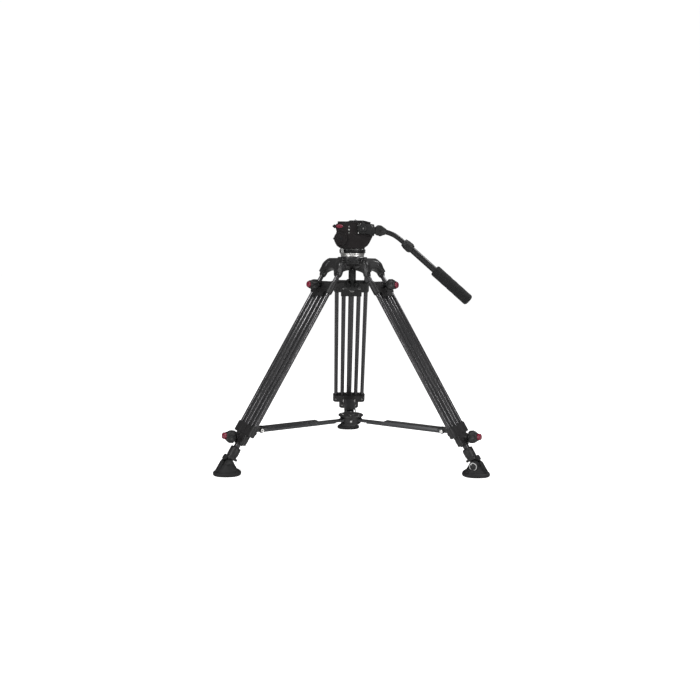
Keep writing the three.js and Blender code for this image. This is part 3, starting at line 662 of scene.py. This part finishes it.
def upper_hardware(leg):
    """Sleeves, screws and caps of the fixed stage."""
    piece = Piece(f"upper_stage_hardware_{leg}", LEG_FRAME[leg])
    for y in (OUTER_Y, -OUTER_Y):
        # sleeve and screw on the yoke's socket
        piece.add(pipe(9.4, 7.35, -47.4, -44.6, 40, 0.5), BRACKET, move(0, y, 0))
        piece.screw(DARK_STEEL, move(10.4, y, -40.8) @ toward_x(1), 2.6, 1.0)
        # raised pad and screw on the inner face of the wide casting
        pad = stud(5.2, 4.9, 0, 1.1, 32, 0.4)
        piece.add(pad, BRACKET, move(-10.9, y, -590) @ toward_x(-1))
        piece.screw(BOLT, move(-11.7, y, -590) @ toward_x(-1), 3.1, 1.0)
        # end plug under the casting, sleeve on top of it
        piece.add(stud(8.6, 8.2, 0, -1.6, 40, 0.5), BRACKET, move(0, y, -604.9))
        piece.add(pipe(9.4, 7.3, -575.2, -572.4, 40, 0.5), BRACKET, move(0, y, 0))
    for y in (INNER_Y, -INNER_Y):
        piece.add(pipe(8.9, 7.6, -575.2, -573.4, 36, 0.4), BRACKET, move(0, y, 0))
    for y0, y1 in ((-45, -33), (-17, 17), (33, 45)):  # raised panels on the outer face
        piece.add(block(10.6, 11.7, y0, y1, -600, -580, 0.5), BRACKET)
    for side in (1, -1):  # round caps on the yoke's cheeks
        cap = stud(5.5, 5.1, 0, 1.2, 36, 0.4)
        piece.add(cap, BRACKET, move(0, side * 57.6, -6) @ toward_y(side))
    piece.done(f"leg{leg}_upper")


def middle_hardware(leg):
    """Sleeves, screws, plugs and panels of the middle stage."""
    piece = Piece(f"middle_stage_hardware_{leg}", LEG_FRAME[leg])
    for y in (OUTER_Y, -OUTER_Y):
        for bottom, top in ((-71.2, -68.6), (-109.4, -106.8)):
            piece.add(pipe(9.5, 7.45, bottom, top, 40, 0.5), BRACKET, move(0, y, 0))
    for y in (27, -27):
        piece.screw(BOLT, move(-10.4, y, -92) @ toward_x(-1), 3.0, 1.0)
    for y in (INNER_Y, -INNER_Y):
        piece.screw(BOLT, move(-10.9, y, -621) @ toward_x(-1), 2.9, 1.0)
        piece.add(stud(8.4, 8.0, 0, -1.4, 40, 0.4), BRACKET, move(0, y, -635.9))
    piece.add(pipe(13.6, 9.95, -641.2, -637.6, 48, 0.6), BRACKET, move(-1, 0, 0))
    for y0, y1 in ((-46, -16), (16, 46)):
        piece.add(block(9.9, 11.2, y0, y1, -101, -78, 0.5), BRACKET)
    for y0, y1 in ((-34, -15), (15, 34)):
        piece.add(block(10.3, 11.4, y0, y1, -632, -610, 0.5), BRACKET)
    piece.done(f"leg{leg}_middle")


def clamp_knob(leg, level, *, z, offset, droop, phase, start, end, radius, cap_height):
    """Knob on the leg's outer side: collar, three lobes and a red cap in a dark rim.

    Its axis starts offset from (0, z) and droops from the leg's +X; the lobes run from start to
    end along it.
    """
    piece = Piece(f"{level}_clamp_knob_{leg}", LEG_FRAME[leg])
    at = move(offset * math.cos(droop), 0, z - offset * math.sin(droop)) @ turn_y(QUARTER + droop)
    piece.add(rod(6.9, 0, start + 1, 40, 0.4), DARK_STEEL, at)
    flange = [(0, start - 3), (11.2, start - 3), (13.2, start + 0.6), (13.2, start + 3),
              (0, start + 3)]
    piece.add(turned(flange, 56, 0.9), KNOB, at)
    middle = (start + end) / 2
    grip = [
        (0, start), (radius * 0.80, start), (radius * 0.96, start + 3), (radius, middle - 2),
        (radius * 0.98, middle + 4), (radius * 0.88, end - 3.6), (radius * 0.72, end), (0, end),
    ]
    lobed = lobes(3, depth=0.38 * radius, full_radius=12.0, power=0.7, phase=phase)
    piece.add(turned(grip, 132, 2.4, shape=lobed, steps=4), KNOB, at)
    for a in around(3):  # a shallow ridge along the crown of each lobe
        ridge = block(radius - 2.4, radius + 0.5, -2.4, 2.4, start + 4, end - 7, 1.2, 3)
        piece.add(ridge, KNOB, at @ turn_z(phase + a))
    rim = [(9.9, end - 3.2), (12.9, end - 3.2), (12.4, end + 0.8), (11.4, end + 2.2),
           (10.0, end + 1.9)]
    piece.add(turned(rim, 56, 0.7, closed=True), KNOB, at)
    top = end + cap_height
    cap = [(0, end - 2.0), (9.8, end - 2.0), (9.9, top - 3.4), (8.8, top - 1.6),
           (6.4, top - 0.4), (3.4, top), (0, top + 0.05)]
    piece.add(turned(cap, 64, 1.4, steps=4), RED, at)
    piece.done(f"{level}_knob{leg}", f"{level}_knob_{leg}", angle=40)


def centre_tube(leg):
    """Centre tube, foot collar and pivot eye."""
    piece = Piece(f"centre_tube_and_collar_{leg}", LEG_FRAME[leg])
    piece.add(pipe(9.5, 8.0, -655, -110, 48), TUBE)
    collar = [
        (0, -690), (14.2, -690), (15.6, -688.6), (16, -686), (16, -681.6), (15.2, -681),
        (15.2, -679.8), (16, -679.2), (16, -653.4), (15.0, -651.6), (12, -651), (0, -651),
    ]
    piece.add(turned(collar, 64, 0.4), BRACKET)
    for degrees in (90, 180, 270):  # raised pads on the collar's barrel
        pad = prism("y", [(14.6, -676), (16.7, -675), (16.7, -657), (14.6, -656)], -5, 5, 0.7)
        piece.add(pad, BRACKET, turn_z(math.radians(degrees)))
    # tab on the outer side, above the boot's strap
    tab = [(13.6, -690), (15.0, -698.6), (21.2, -699.6), (22.4, -697), (22.2, -686.4),
           (18.8, -682), (14.6, -683)]
    piece.add(prism("y", tab, -8, 8, 1.8, 3), RUBBER)
    eye = [(-8.5, -684), (8.5, -684)] + arc(0, -FOOT_PIVOT, 9, 0, -180, 20)
    piece.add(prism("y", eye, -7, 7, 0.8), DARK_STEEL)
    lug = [(-13, -9), (-20, -8.6)] + arc(-20, 0, 5.6, -80, 80, 6) + [(-20, 8.6), (-13, 9)]
    piece.add(prism("z", lug, -690, -682.6, 1.2, 3), KNOB)
    piece.done(f"leg{leg}_lower", f"lower_tube_{leg}", angle=36)


def foot_outline(a, radius, z):
    """Three broad lobes that grow towards the rim, and fine ribs on the rim's edge."""
    if radius < 20:
        return radius
    wave = 0.5 + 0.5 * math.cos(3 * a)
    wave = 1 - (1 - wave) * min(1.0, max(0.0, (radius - 20) / 14))
    rib = 0.45 * math.cos(36 * a) if z < 9.6 and radius > 35 else 0.0
    return radius * (0.875 + 0.125 * wave) + rib


def foot(leg):
    """Rubber boot with a ribbed rim, cheeks round the pivot and a strap, upright on the floor."""
    piece = Piece(f"foot_boot_{leg}", ARM_FRAME[leg] @ move(FOOT_RADIUS, 0, 0))
    boot = [  # radius, z
        (0, 0), (40.6, 0), (43.2, 1.6), (44.0, 6.0), (43.0, 10.0), (39.6, 12.2), (36.8, 12.0),
        (35.6, 10.8), (34.6, 12.4), (33.0, 15.2), (29.2, 19.0), (26.0, 23.4), (23.2, 28.0),
        (20.8, 31.8), (17.2, 32.8), (0, 30.0),
    ]
    piece.add(turned(boot, 144, 0.8, shape=foot_outline), RUBBER)
    cheek = [(-22.0, 22), (-19.0, 29)] + arc(0, FOOT_Z, 16.2, 190, -10, 26)
    cheek += [(19.0, 29), (22.0, 22)]
    # +Y side: flat disc and six-sided stud
    piece.add(prism("y", cheek, 8.2, 15.6, 1.8, 3), RUBBER)
    disc = [(0, 0), (11.4, 0), (11.4, 1.2), (6.4, 1.8), (0, 1.8)]
    piece.add(turned(disc, 56, 0.4), KNOB, move(0, 15.0, FOOT_Z) @ toward_y(1))
    hexagon = stud(4.2, 4.0, 0, 1.6, 6, 0.2, peak=1.8)
    piece.add(hexagon, DARK_STEEL, move(0, 16.4, FOOT_Z) @ toward_y(1))
    # -Y side: boss with a bright washer round a black bolt head, and one bright pin end
    piece.add(prism("y", cheek, -15.6, -8.2, 1.8, 3), RUBBER)
    face = move(0, -24.2, FOOT_Z) @ toward_y(-1)
    boss = [(0, -10), (14.4, -10), (13.6, -1.2), (12.6, 0), (0, 0)]
    piece.add(turned(boss, 56, 0.5), RUBBER, face)
    washer = [(9.6, -0.3), (11.9, -0.3), (11.7, 1.4), (9.8, 1.6)]
    piece.add(turned(washer, 64, 0.35, closed=True), SATIN, face)
    bolt = [(0, -0.2), (9.4, -0.2), (9.2, 1.0), (5.2, 1.0), (5.0, 2.0), (0, 2.0)]
    piece.add(turned(bolt, 48, 0.3), BLACK, face)
    piece.add(stud(2.0, 1.8, 0, 1.0, 28, 0.3, peak=1.2), SATIN, face @ move(-6.2, 5.8, 0.6))
    # strap down the outer side, with a ringed recess
    strap = [(11.0, 40.5), (12.6, 43.4), (16.6, 44.8), (19.4, 42.8), (31.8, 23.4),
             (38.0, 14.0), (33.0, 10.0), (21.0, 16.0)]
    piece.add(prism("y", strap, -7.6, 7.6, 1.8, 3), RUBBER)
    peg = [(0, 0), (4.4, 0), (4.2, 1.4), (2.9, 1.4), (2.6, 0.2), (0, 0.2)]
    # The ringed recess is painted near black as painted shade.
    piece.add(turned(peg, 36, 0.4), PAINTED_SHADE_BLACK, move(32.6, 0, 21.8) @ turn_y(math.radians(58)))
    # raised ribs from the neck to the lobes of the rim
    rib = [(22, 27), (30.5, 19.6), (39.2, 12.6), (42.6, 9.0), (42.0, 6.0), (30, 12), (20, 22)]
    for a in around(3):
        piece.add(prism("y", rib, -4.6, 4.6, 1.6, 3), RUBBER, turn_z(a))
    piece.add(rod(3.6, -14, 14, 28, 0.3), BOLT, move(0, 0, FOOT_Z) @ toward_y(-1))
    piece.done(f"foot{leg}", f"foot_{leg}", angle=40)


def arm_bolts(leg):
    """Side bolts, top strip and stud of a spreader arm."""
    piece = Piece(f"arm_bolts_{leg}", ARM_FRAME[leg])
    bolt = [(0, -0.5), (5.4, -0.5), (5.4, 1.6), (4.6, 2.4), (2.2, 2.5), (2.0, 1.9), (0, 1.9)]
    for side in (1, -1):
        piece.add(turned(bolt, 40, 0.4), SILVER, move(326, side * 20.1, 126) @ toward_y(side))
    stud_x = 143
    piece.add(prism("z", stadium(stud_x, 300, 9, 12), 132.8, 133.6, 0.3, 1), ARM)
    piece.add(stud(3.2, 3.0, 0, 1.0, 28, 0.3, peak=1.3), DARK_STEEL, move(stud_x, 0, 133.4))
    piece.done(f"channel{leg}")


def build_leg(leg):
    upper, middle = f"leg{leg}_upper", f"leg{leg}_middle"
    side_tubes(leg, "outer", upper, OUTER_Y, radius=7.0, bottom=-602, top=-7)
    side_tubes(leg, "inner", middle, INNER_Y, radius=7.2, bottom=-633, top=-81)
    yoke(leg)
    upper_hardware(leg)
    middle_hardware(leg)
    clamp_knob(leg, "upper", z=-79, offset=16, droop=0.52, phase=0.4 + (leg - 1) * 0.9,
               start=12.0, end=38.0, radius=18.5, cap_height=9.0)
    clamp_knob(leg, "lower", z=-616, offset=20.6, droop=0.38, phase=0.5 + (leg - 1) * 0.7,
               start=5.0, end=31.0, radius=20.8, cap_height=12.5)
    centre_tube(leg)
    foot(leg)
    arm_bolts(leg)


def hub_top():
    """Spreader hub's top plate, and a bossed screw in its wall between each pair of arms."""
    piece = Piece("hub_top_plate")
    profile = [(0, 140.2), (39.4, 140.2), (40.0, 140.9), (38.6, 141.8), (24, 142.4),
               (22.6, 141.6), (16, 141.6), (14.8, 143.4), (11, 144.4), (0, 144.6)]
    piece.add(turned(profile, 96, 0.5), BRACKET)
    for i in range(6):
        a = math.radians(30 + 60 * i)
        piece.screw(BOLT, move(31 * math.cos(a), 31 * math.sin(a), 141.9), 2.6, 1.0)
    wall = 33.6
    for azimuth in AZIMUTHS:
        a = math.radians(azimuth + 60)
        at = move(wall * math.cos(a), wall * math.sin(a), 124) @ turn_z(a) @ toward_x(1)
        piece.add(stud(6.2, 5.8, 0, 2.2, 36, 0.5), BRACKET, at)
        piece.add(stud(3.4, 3.2, 1.8, 3.4, 32, 0.4, peak=3.8), SILVER, at)
    piece.done("hub")


# ------------------------------------------------------------------ fluid head
def head_details():
    piece = Piece("head_details")
    for side in (-1, 1):  # screws on both cheeks
        for x, z in ((-44, 735), (46, 702), (-20, 686), (22, 686)):
            piece.screw(DARK_STEEL, move(x, side * 50.5, z) @ toward_y(side), 2.4, 0.7)
    # raised panel between dial and rosette
    panel = [(-14, 684.5), (36, 684.5), (45, 691), (50, 700), (51.5, 711), (49.5, 719),
             (12, 719), (8, 726), (-12, 726)]
    piece.add(prism("y", panel, -51.4, -49.6, 0.5), HEAD)
    for z, finish in ((746.5, GREY), (737, WHITE), (727.5, GREY)):  # three dots
        dot = stud(2.3, 2.1, 0, 0.9, 28, 0.3, peak=1.1)
        piece.add(dot, finish, move(-12.5, -50.2, z) @ toward_y(-1))
    # small bright bar on the rosette block, then the block with its screws and serrated disc
    piece.add(block(21.5, 26.5, -52.9, -51.8, 753.2, 756.0, 0.5), BOLT)
    backing = [(12, 722), (48, 722), (50, 740), (49, 757), (16, 757), (12, 745)]
    # The block behind the rosette is painted near black as painted shade round the rosette.
    piece.add(prism("y", backing, -52.2, -49.8, 0.7), PAINTED_SHADE_BLACK)
    for x, z in ((17.5, 752), (44.5, 752), (45, 727.5), (17, 727.5)):
        piece.screw(BOLT, move(x, -52.1, z) @ toward_y(-1), 2.2, 0.9)
    for a in around(36):
        tooth = block(13.0, 15.9, -0.45, 0.45, -0.3, 0.5, 0.0)
        piece.add(tooth, BLACK, move(JOINT_X, -53.5, JOINT_Z) @ toward_y(-1) @ turn_z(a))
    for side in (-1, 1):  # rails along the deck's edges
        y0, y1 = side * 29.5, side * 49.3
        rail = [(y0, 758.3), (y1, 758.3), (y1, 759.4), (y0, 759.4)]
        piece.add(prism("x", rail, -47, 36, 0.3, 1), HEAD)
    # black nub on two blocks at the deck's -X end
    nub = [(0, 0), (3.4, 0), (3.6, 1.5), (3.6, 6.0), (2.6, 8.0), (0, 8.4)]
    piece.add(turned(nub, 40, 0.7), BLACK, move(-55.6, -46.4, 747.5) @ toward_x(-1))
    piece.add(block(-60.2, -55.3, -50.4, -42.7, 741.2, 753.0, 1.8, 3), BLACK)
    piece.add(block(-57.0, -50.5, -46.1, -42.7, 742.2, 752.0, 0.8, 3), BLACK)
    # bubble level by the +Y rail
    level_at = move(44, 40, 759.6)
    cup = [(0, 0), (6.2, 0), (6.4, 1.6), (5.6, 2.2), (5.0, 2.0), (5.0, 1.4), (0, 1.4)]
    piece.add(turned(cup, 48, 0.3), BLACK, level_at)
    vial = [(0, 0.6), (4.9, 0.6), (4.6, 1.6), (2.4, 2.2), (0, 2.4)]
    piece.add(turned(vial, 40, 0.3), VIAL, level_at)
    piece.done("tilt_head", angle=36)


def plate_strips():
    """Ribbed rubber strips, a slot-shaped recess and a screw on the camera plate."""
    piece = Piece("plate_rubber_strips")
    for y0, y1 in ((-22.5, -12.5), (12.5, 22.5)):
        piece.add(block(-11.5, 33.5, y0, y1, 766.4, 767.35, 0.35, 1), PAD)
        for x in range(-9, 35, 4):
            piece.add(block(x, x + 1.7, y0 + 0.8, y1 - 0.8, 767.0, 767.8, 0.25, 1), PAD)
    # The slot-shaped recess is painted near black as painted shade.
    piece.add(prism("z", stadium(-2, 20, 3.4, 10), 766.2, 767.1, 0.15, 1), PAINTED_SHADE_BLACK)
    screw = [(0, 0), (5.6, 0), (5.8, 1.0), (3.2, 1.2), (3.1, 4.4), (2.4, 5.0), (0, 5.0)]
    piece.add(turned(screw, 40, 0.25), BOLT, move(9, 0, 766.4))
    piece.done("plate")


def release_button():
    """Red oval button with five upright ribs, in a black surround."""
    piece = Piece("release_button_cap")

    def oval(half_width, half_height):
        return [(BUTTON_X + half_width * math.cos(a), BUTTON_Z + half_height * math.sin(a))
                for a in around(56)]

    piece.add(prism("y", oval(12.6, 7.0), -51.8, -49.1, 0.7), BLACK)
    piece.add(prism("y", oval(10.8, 5.5), -54.0, -51.0, 1.3, 4), RED)
    for step in range(-2, 3):
        x = BUTTON_X + step * 3.4
        reach = 3.4 - abs(step) * 0.5
        rib = block(x - 0.55, x + 0.55, -54.6, -53.4, BUTTON_Z - reach, BUTTON_Z + reach, 0.4)
        piece.add(rib, RED)
    piece.done("release", "release_button", angle=40)


def drag_dial():
    """Dial with a finely knurled rim, pointer and raised index marks."""
    piece = Piece("drag_dial_wheel")

    def knurl(a, radius, z):
        return radius + (0.45 * math.cos(60 * a) if radius > 20.6 else 0.0)

    at = move(DIAL_X, 0, DIAL_Z) @ toward_y(-1)
    wheel = [(0, 51.0), (20.9, 51.0), (21.5, 51.8), (21.5, 55.6), (20.4, 57.2), (17.2, 57.4),
             (16.6, 56.4), (12.6, 56.4), (12.0, 57.4), (0, 57.4)]
    piece.add(turned(wheel, 240, 0.35, shape=knurl, steps=2), HEAD, at)
    pointer = [(-2.0, 8.5), (2.0, 8.5), (0.7, 19.4), (-0.7, 19.4)]
    piece.add(prism("z", pointer, 56.9, 58.2, 0.3, 1), HEAD, at)
    for a in around(12):
        mark = block(-0.45, 0.45, 13.4, 16.0, 56.2, 56.75, 0.12, 1)
        piece.add(mark, DARK_STEEL, at @ turn_z(a))
    piece.add(stud(5.2, 5.0, 57.2, 58.1, 40, 0.3, peak=58.4), DARK_STEEL, at)
    nub = [(-58.4, 705.8), (-62, 706.8), (-62.3, 711.2), (-58.4, 712.2)]
    piece.add(prism("y", nub, -56.6, -51.8, 0.6), HEAD)
    piece.done("drag", "drag_dial", angle=36)


# ------------------------------------------------------------------ pan handle
def handle_arm():
    piece = Piece("handle_arm_shell")
    bend = [  # x, z of the tube's axis
        (88, 734), (98, 731.4), (113, 727.2), (127.6, 721.2), (138, 714.6), (147.2, 707.9),
        (155.6, 701), (164, 694.2), (173.2, 686.6), (190, 672.07),
    ]
    piece.add(sweep(spline([(x, HANDLE_Y, z) for x, z in bend]), 7.6, 40), BLACK)
    piece.add(rod(7.6, 10, 205, 40, 0.4), BLACK, HANDLE_FRAME)
    arm = [(31, 726), (50, 724.0), (57, 718), (65, 717.5), (66.5, 724), (74, 724.5),
           (74, 744.5), (66.5, 745.5), (65, 753.5), (52, 755), (31, 754)]
    piece.add(prism("y", arm, -66.5, -54.2, 1.4, 3), BLACK)
    piece.add(rod(15.5, 0, 12.1, 72, 1.2), BLACK, move(JOINT_X, -54.3, JOINT_Z) @ toward_y(-1))
    # faceted socket round the tube, a raised face on it and a lug below
    socket = [(69.5, 723), (74, 719.6), (90, 719.2), (100.5, 722.2), (104.4, 731),
              (104.0, 738.6), (95.8, 744.4), (87, 750.2), (76, 751.3), (69.5, 746.8)]
    piece.add(prism("y", socket, -71.6, -48.4, 3.6, 3), KNOB)
    face = [(76, 724.0), (89, 723.6), (97, 727.5), (97.6, 735), (86.5, 743.2), (77.5, 744.6)]
    piece.add(prism("y", face, -72.6, -70.8, 0.8), KNOB)
    lug = [(80, 717.4), (88, 717.2), (88.8, 721), (79.4, 721)]
    piece.add(prism("y", lug, -65.5, -54.5, 1.1), KNOB)
    piece.screw(DARK_STEEL, move(84, -72.4, 733.5) @ toward_y(-1), 3.0, 0.9)
    piece.screw(BOLT, move(59.5, -66.4, 748.6) @ toward_y(-1), 2.3, 0.8)
    piece.screw(DARK_STEEL, move(59.5, -66.4, 724.0) @ toward_y(-1), 2.3, 0.8)
    piece.done("handle", "handle_arm", angle=36)


def handle_clamp():
    piece = Piece("handle_clamp_lever")
    at = move(JOINT_X, 0, JOINT_Z) @ toward_y(-1)
    ring = [(4.35, 66.9), (9.4, 66.9), (9.8, 68.6), (9.0, 74.0), (4.35, 75)]
    piece.add(turned(ring, 48, 0.7, closed=True), BLACK, at)
    piece.add(stud(4.6, 4.6, 68.9, 74.8, 40, 0.3, peak=75.0), BLACK, at)
    piece.add(stud(2.5, 2.4, 74, 75.8, 32, 0.3, peak=76), BOLT, at)
    lever = [(25.0, 741)] + arc(JOINT_X, 757.6, 4.6, 165, 15, 12) + [(37.0, 741)]
    piece.add(prism("y", lever, -74.6, -70.2, 1.4, 3), BLACK)
    piece.done("handle_clamp", "handle_clamp_knob", angle=38)


def handle_collar():
    piece = Piece("handle_collar_grip")

    def ribs(a, radius, z):
        return radius + (0.5 * math.cos(24 * a) if radius > 13.9 and -11 < z < 9 else 0.0)

    profile = [
        (8.0, -12), (11.2, -12), (11.2, -19.6), (12.0, -20), (12.8, -18), (14.2, -11),
        (14.6, -8), (15.2, 6), (14.8, 9), (12.9, 14.6), (10.7, 15), (10.6, 7.6), (8.0, 7.6),
    ]
    piece.add(turned(profile, 192, 0.5, shape=ribs, closed=True, steps=2), KNOB, HANDLE_FRAME)
    piece.done("handle_twist", "handle_collar", angle=36)


def handle_extension():
    piece = Piece("handle_extension_tube")
    piece.add(pipe(10.2, 8.0, 8, 251, 56), BLACK, HANDLE_FRAME)
    piece.done("handle_grip", "handle_extension")


def foam_grip():
    piece = Piece("foam_grip")

    def uneven(a, radius, z):
        if radius < 12:
            return radius
        swell = 0.22 * math.sin(0.21 * z + 1.3 * math.sin(a))
        return radius + swell + 0.12 * math.sin(0.093 * z * 3 + 2 * a)

    profile = [(10.5, 110.6), (15.4, 110.8), (17.4, 112.6)]
    profile += [(18.0, 116 + i * 4.5) for i in range(30)]
    profile += [(18.0, 249), (17.2, 253.2), (14.4, 256.2), (9, 257.2), (4.2, 257.3),
                (3.6, 256.2), (3.2, 251.6), (10.5, 251.6)]
    piece.add(turned(profile, 96, 1.2, shape=uneven, closed=True), FOAM, HANDLE_FRAME)
    piece.done("handle_grip", "handle_grip", angle=50)


# ------------------------------------------------------------------ studio (metres)
# The lens sees floor and backdrop at one even white; the light they throw back on the tripod is
# dimmer, so that the black finishes keep their depth.
def lens_or_light(tree, light, lens):
    """One strength for the light thrown on things, another for what the lens sees."""
    seen = add_node(tree, "LightPath", {}).outputs["Is Camera Ray"]
    return map_range(tree, seen, light, lens)


def studio_floor():
    white = bpy.data.materials.new("floor_white")
    white.use_nodes = True
    tree = white.node_tree
    feed(tree, tree.nodes["Principled BSDF"], {
        "Base Color": (0.90, 0.90, 0.90, 1),
        "Roughness": 0.95,
        "Specular IOR Level": 0.0,
        "Emission Color": (1, 1, 1, 1),
        "Emission Strength": lens_or_light(tree, light=0.0, lens=0.90),
    })
    half = 25.0
    z = -0.767 - 0.0004  # just under the feet
    outline = bmesh.new()
    for x, y in ((-half, -half), (half, -half), (half, half), (-half, half)):
        outline.verts.new((x, y, z))
    outline.faces.new(outline.verts[:])
    mesh = bpy.data.meshes.new("studio_floor")
    outline.to_mesh(mesh)
    outline.free()
    mesh.materials.append(white)
    floor = bpy.data.objects.new("studio_floor", mesh)
    bpy.context.scene.collection.objects.link(floor)


def backdrop():
    scene = bpy.context.scene
    world = scene.world or bpy.data.worlds.new("world")
    scene.world = world
    world.use_nodes = True
    tree = world.node_tree
    strength = lens_or_light(tree, light=0.15, lens=1.02)
    feed(tree, tree.nodes["Background"], {0: (1.0, 1.0, 1.0, 1), 1: strength})


def area_light(name, *, place, target, size, power, height=None):
    lamp = bpy.data.lights.new(name, "AREA")
    lamp.energy = power
    lamp.shape = "RECTANGLE" if height else "SQUARE"
    lamp.size = size
    if height:
        lamp.size_y = height
    holder = bpy.data.objects.new(name, lamp)
    holder.location = place
    aim = Vector(target) - Vector(place)
    holder.rotation_euler = aim.to_track_quat("-Z", "Y").to_euler()
    bpy.context.scene.collection.objects.link(holder)


def lights():
    area_light("key", place=(-1.1, -1.4, 2.0), target=(0, 0, -0.30), size=0.55, power=34)
    area_light("rim", place=(1.5, 0.3, 1.6), target=(0, 0, -0.3), size=0.6, power=24)
    # tall strips that draw a thin line of light down each tube
    for name, x, power in (("strip_left", -1.6, 17), ("strip_right", 1.6, 20)):
        area_light(name, place=(x, -1.9, -0.25), target=(0, 0, -0.35), size=0.16, power=power,
                   height=1.8)
    area_light("fill", place=(0.1, -2.7, 0.5), target=(0, 0, -0.4), size=0.5, power=3)


def camera():
    scene = bpy.context.scene
    eye = (-53.9, -2400.0, 631.3 - TOP_Z)  # mm
    pitch, roll, yaw = 0.11538, 0.00961, 0.020458  # radians: down, tilt, towards +X
    lens = bpy.data.cameras.new("camera")
    lens.sensor_width = 36
    lens.lens = 38.2608
    lens.clip_start = 0.05
    lens.clip_end = 60
    holder = bpy.data.objects.new("camera", lens)
    scene.collection.objects.link(holder)
    level = Vector((math.sin(yaw), math.cos(yaw), 0))
    right = Vector((math.cos(yaw), -math.sin(yaw), 0))
    vertical = Vector((0, 0, 1))
    forward = level * math.cos(pitch) - vertical * math.sin(pitch)
    up = level * math.sin(pitch) + vertical * math.cos(pitch)
    view_right = right * math.cos(roll) + up * math.sin(roll)
    view_up = up * math.cos(roll) - right * math.sin(roll)
    pose = Matrix((view_right, view_up, -forward)).transposed().to_4x4()
    pose.translation = Vector(eye) / 1000
    holder.matrix_world = pose
    scene.camera = holder


def view():
    settings = bpy.context.scene.view_settings
    settings.view_transform = "Standard"
    settings.look = "None"
    settings.exposure = 0.0


# ------------------------------------------------------------------ build
finish_cad()
half_ball()
pan_base()
bowl_knob()
for leg_number in (1, 2, 3):
    build_leg(leg_number)
hub_top()
head_details()
plate_strips()
release_button()
drag_dial()
handle_arm()
handle_clamp()
handle_collar()
handle_extension()
foam_grip()
studio_floor()
backdrop()
lights()
view()
camera()
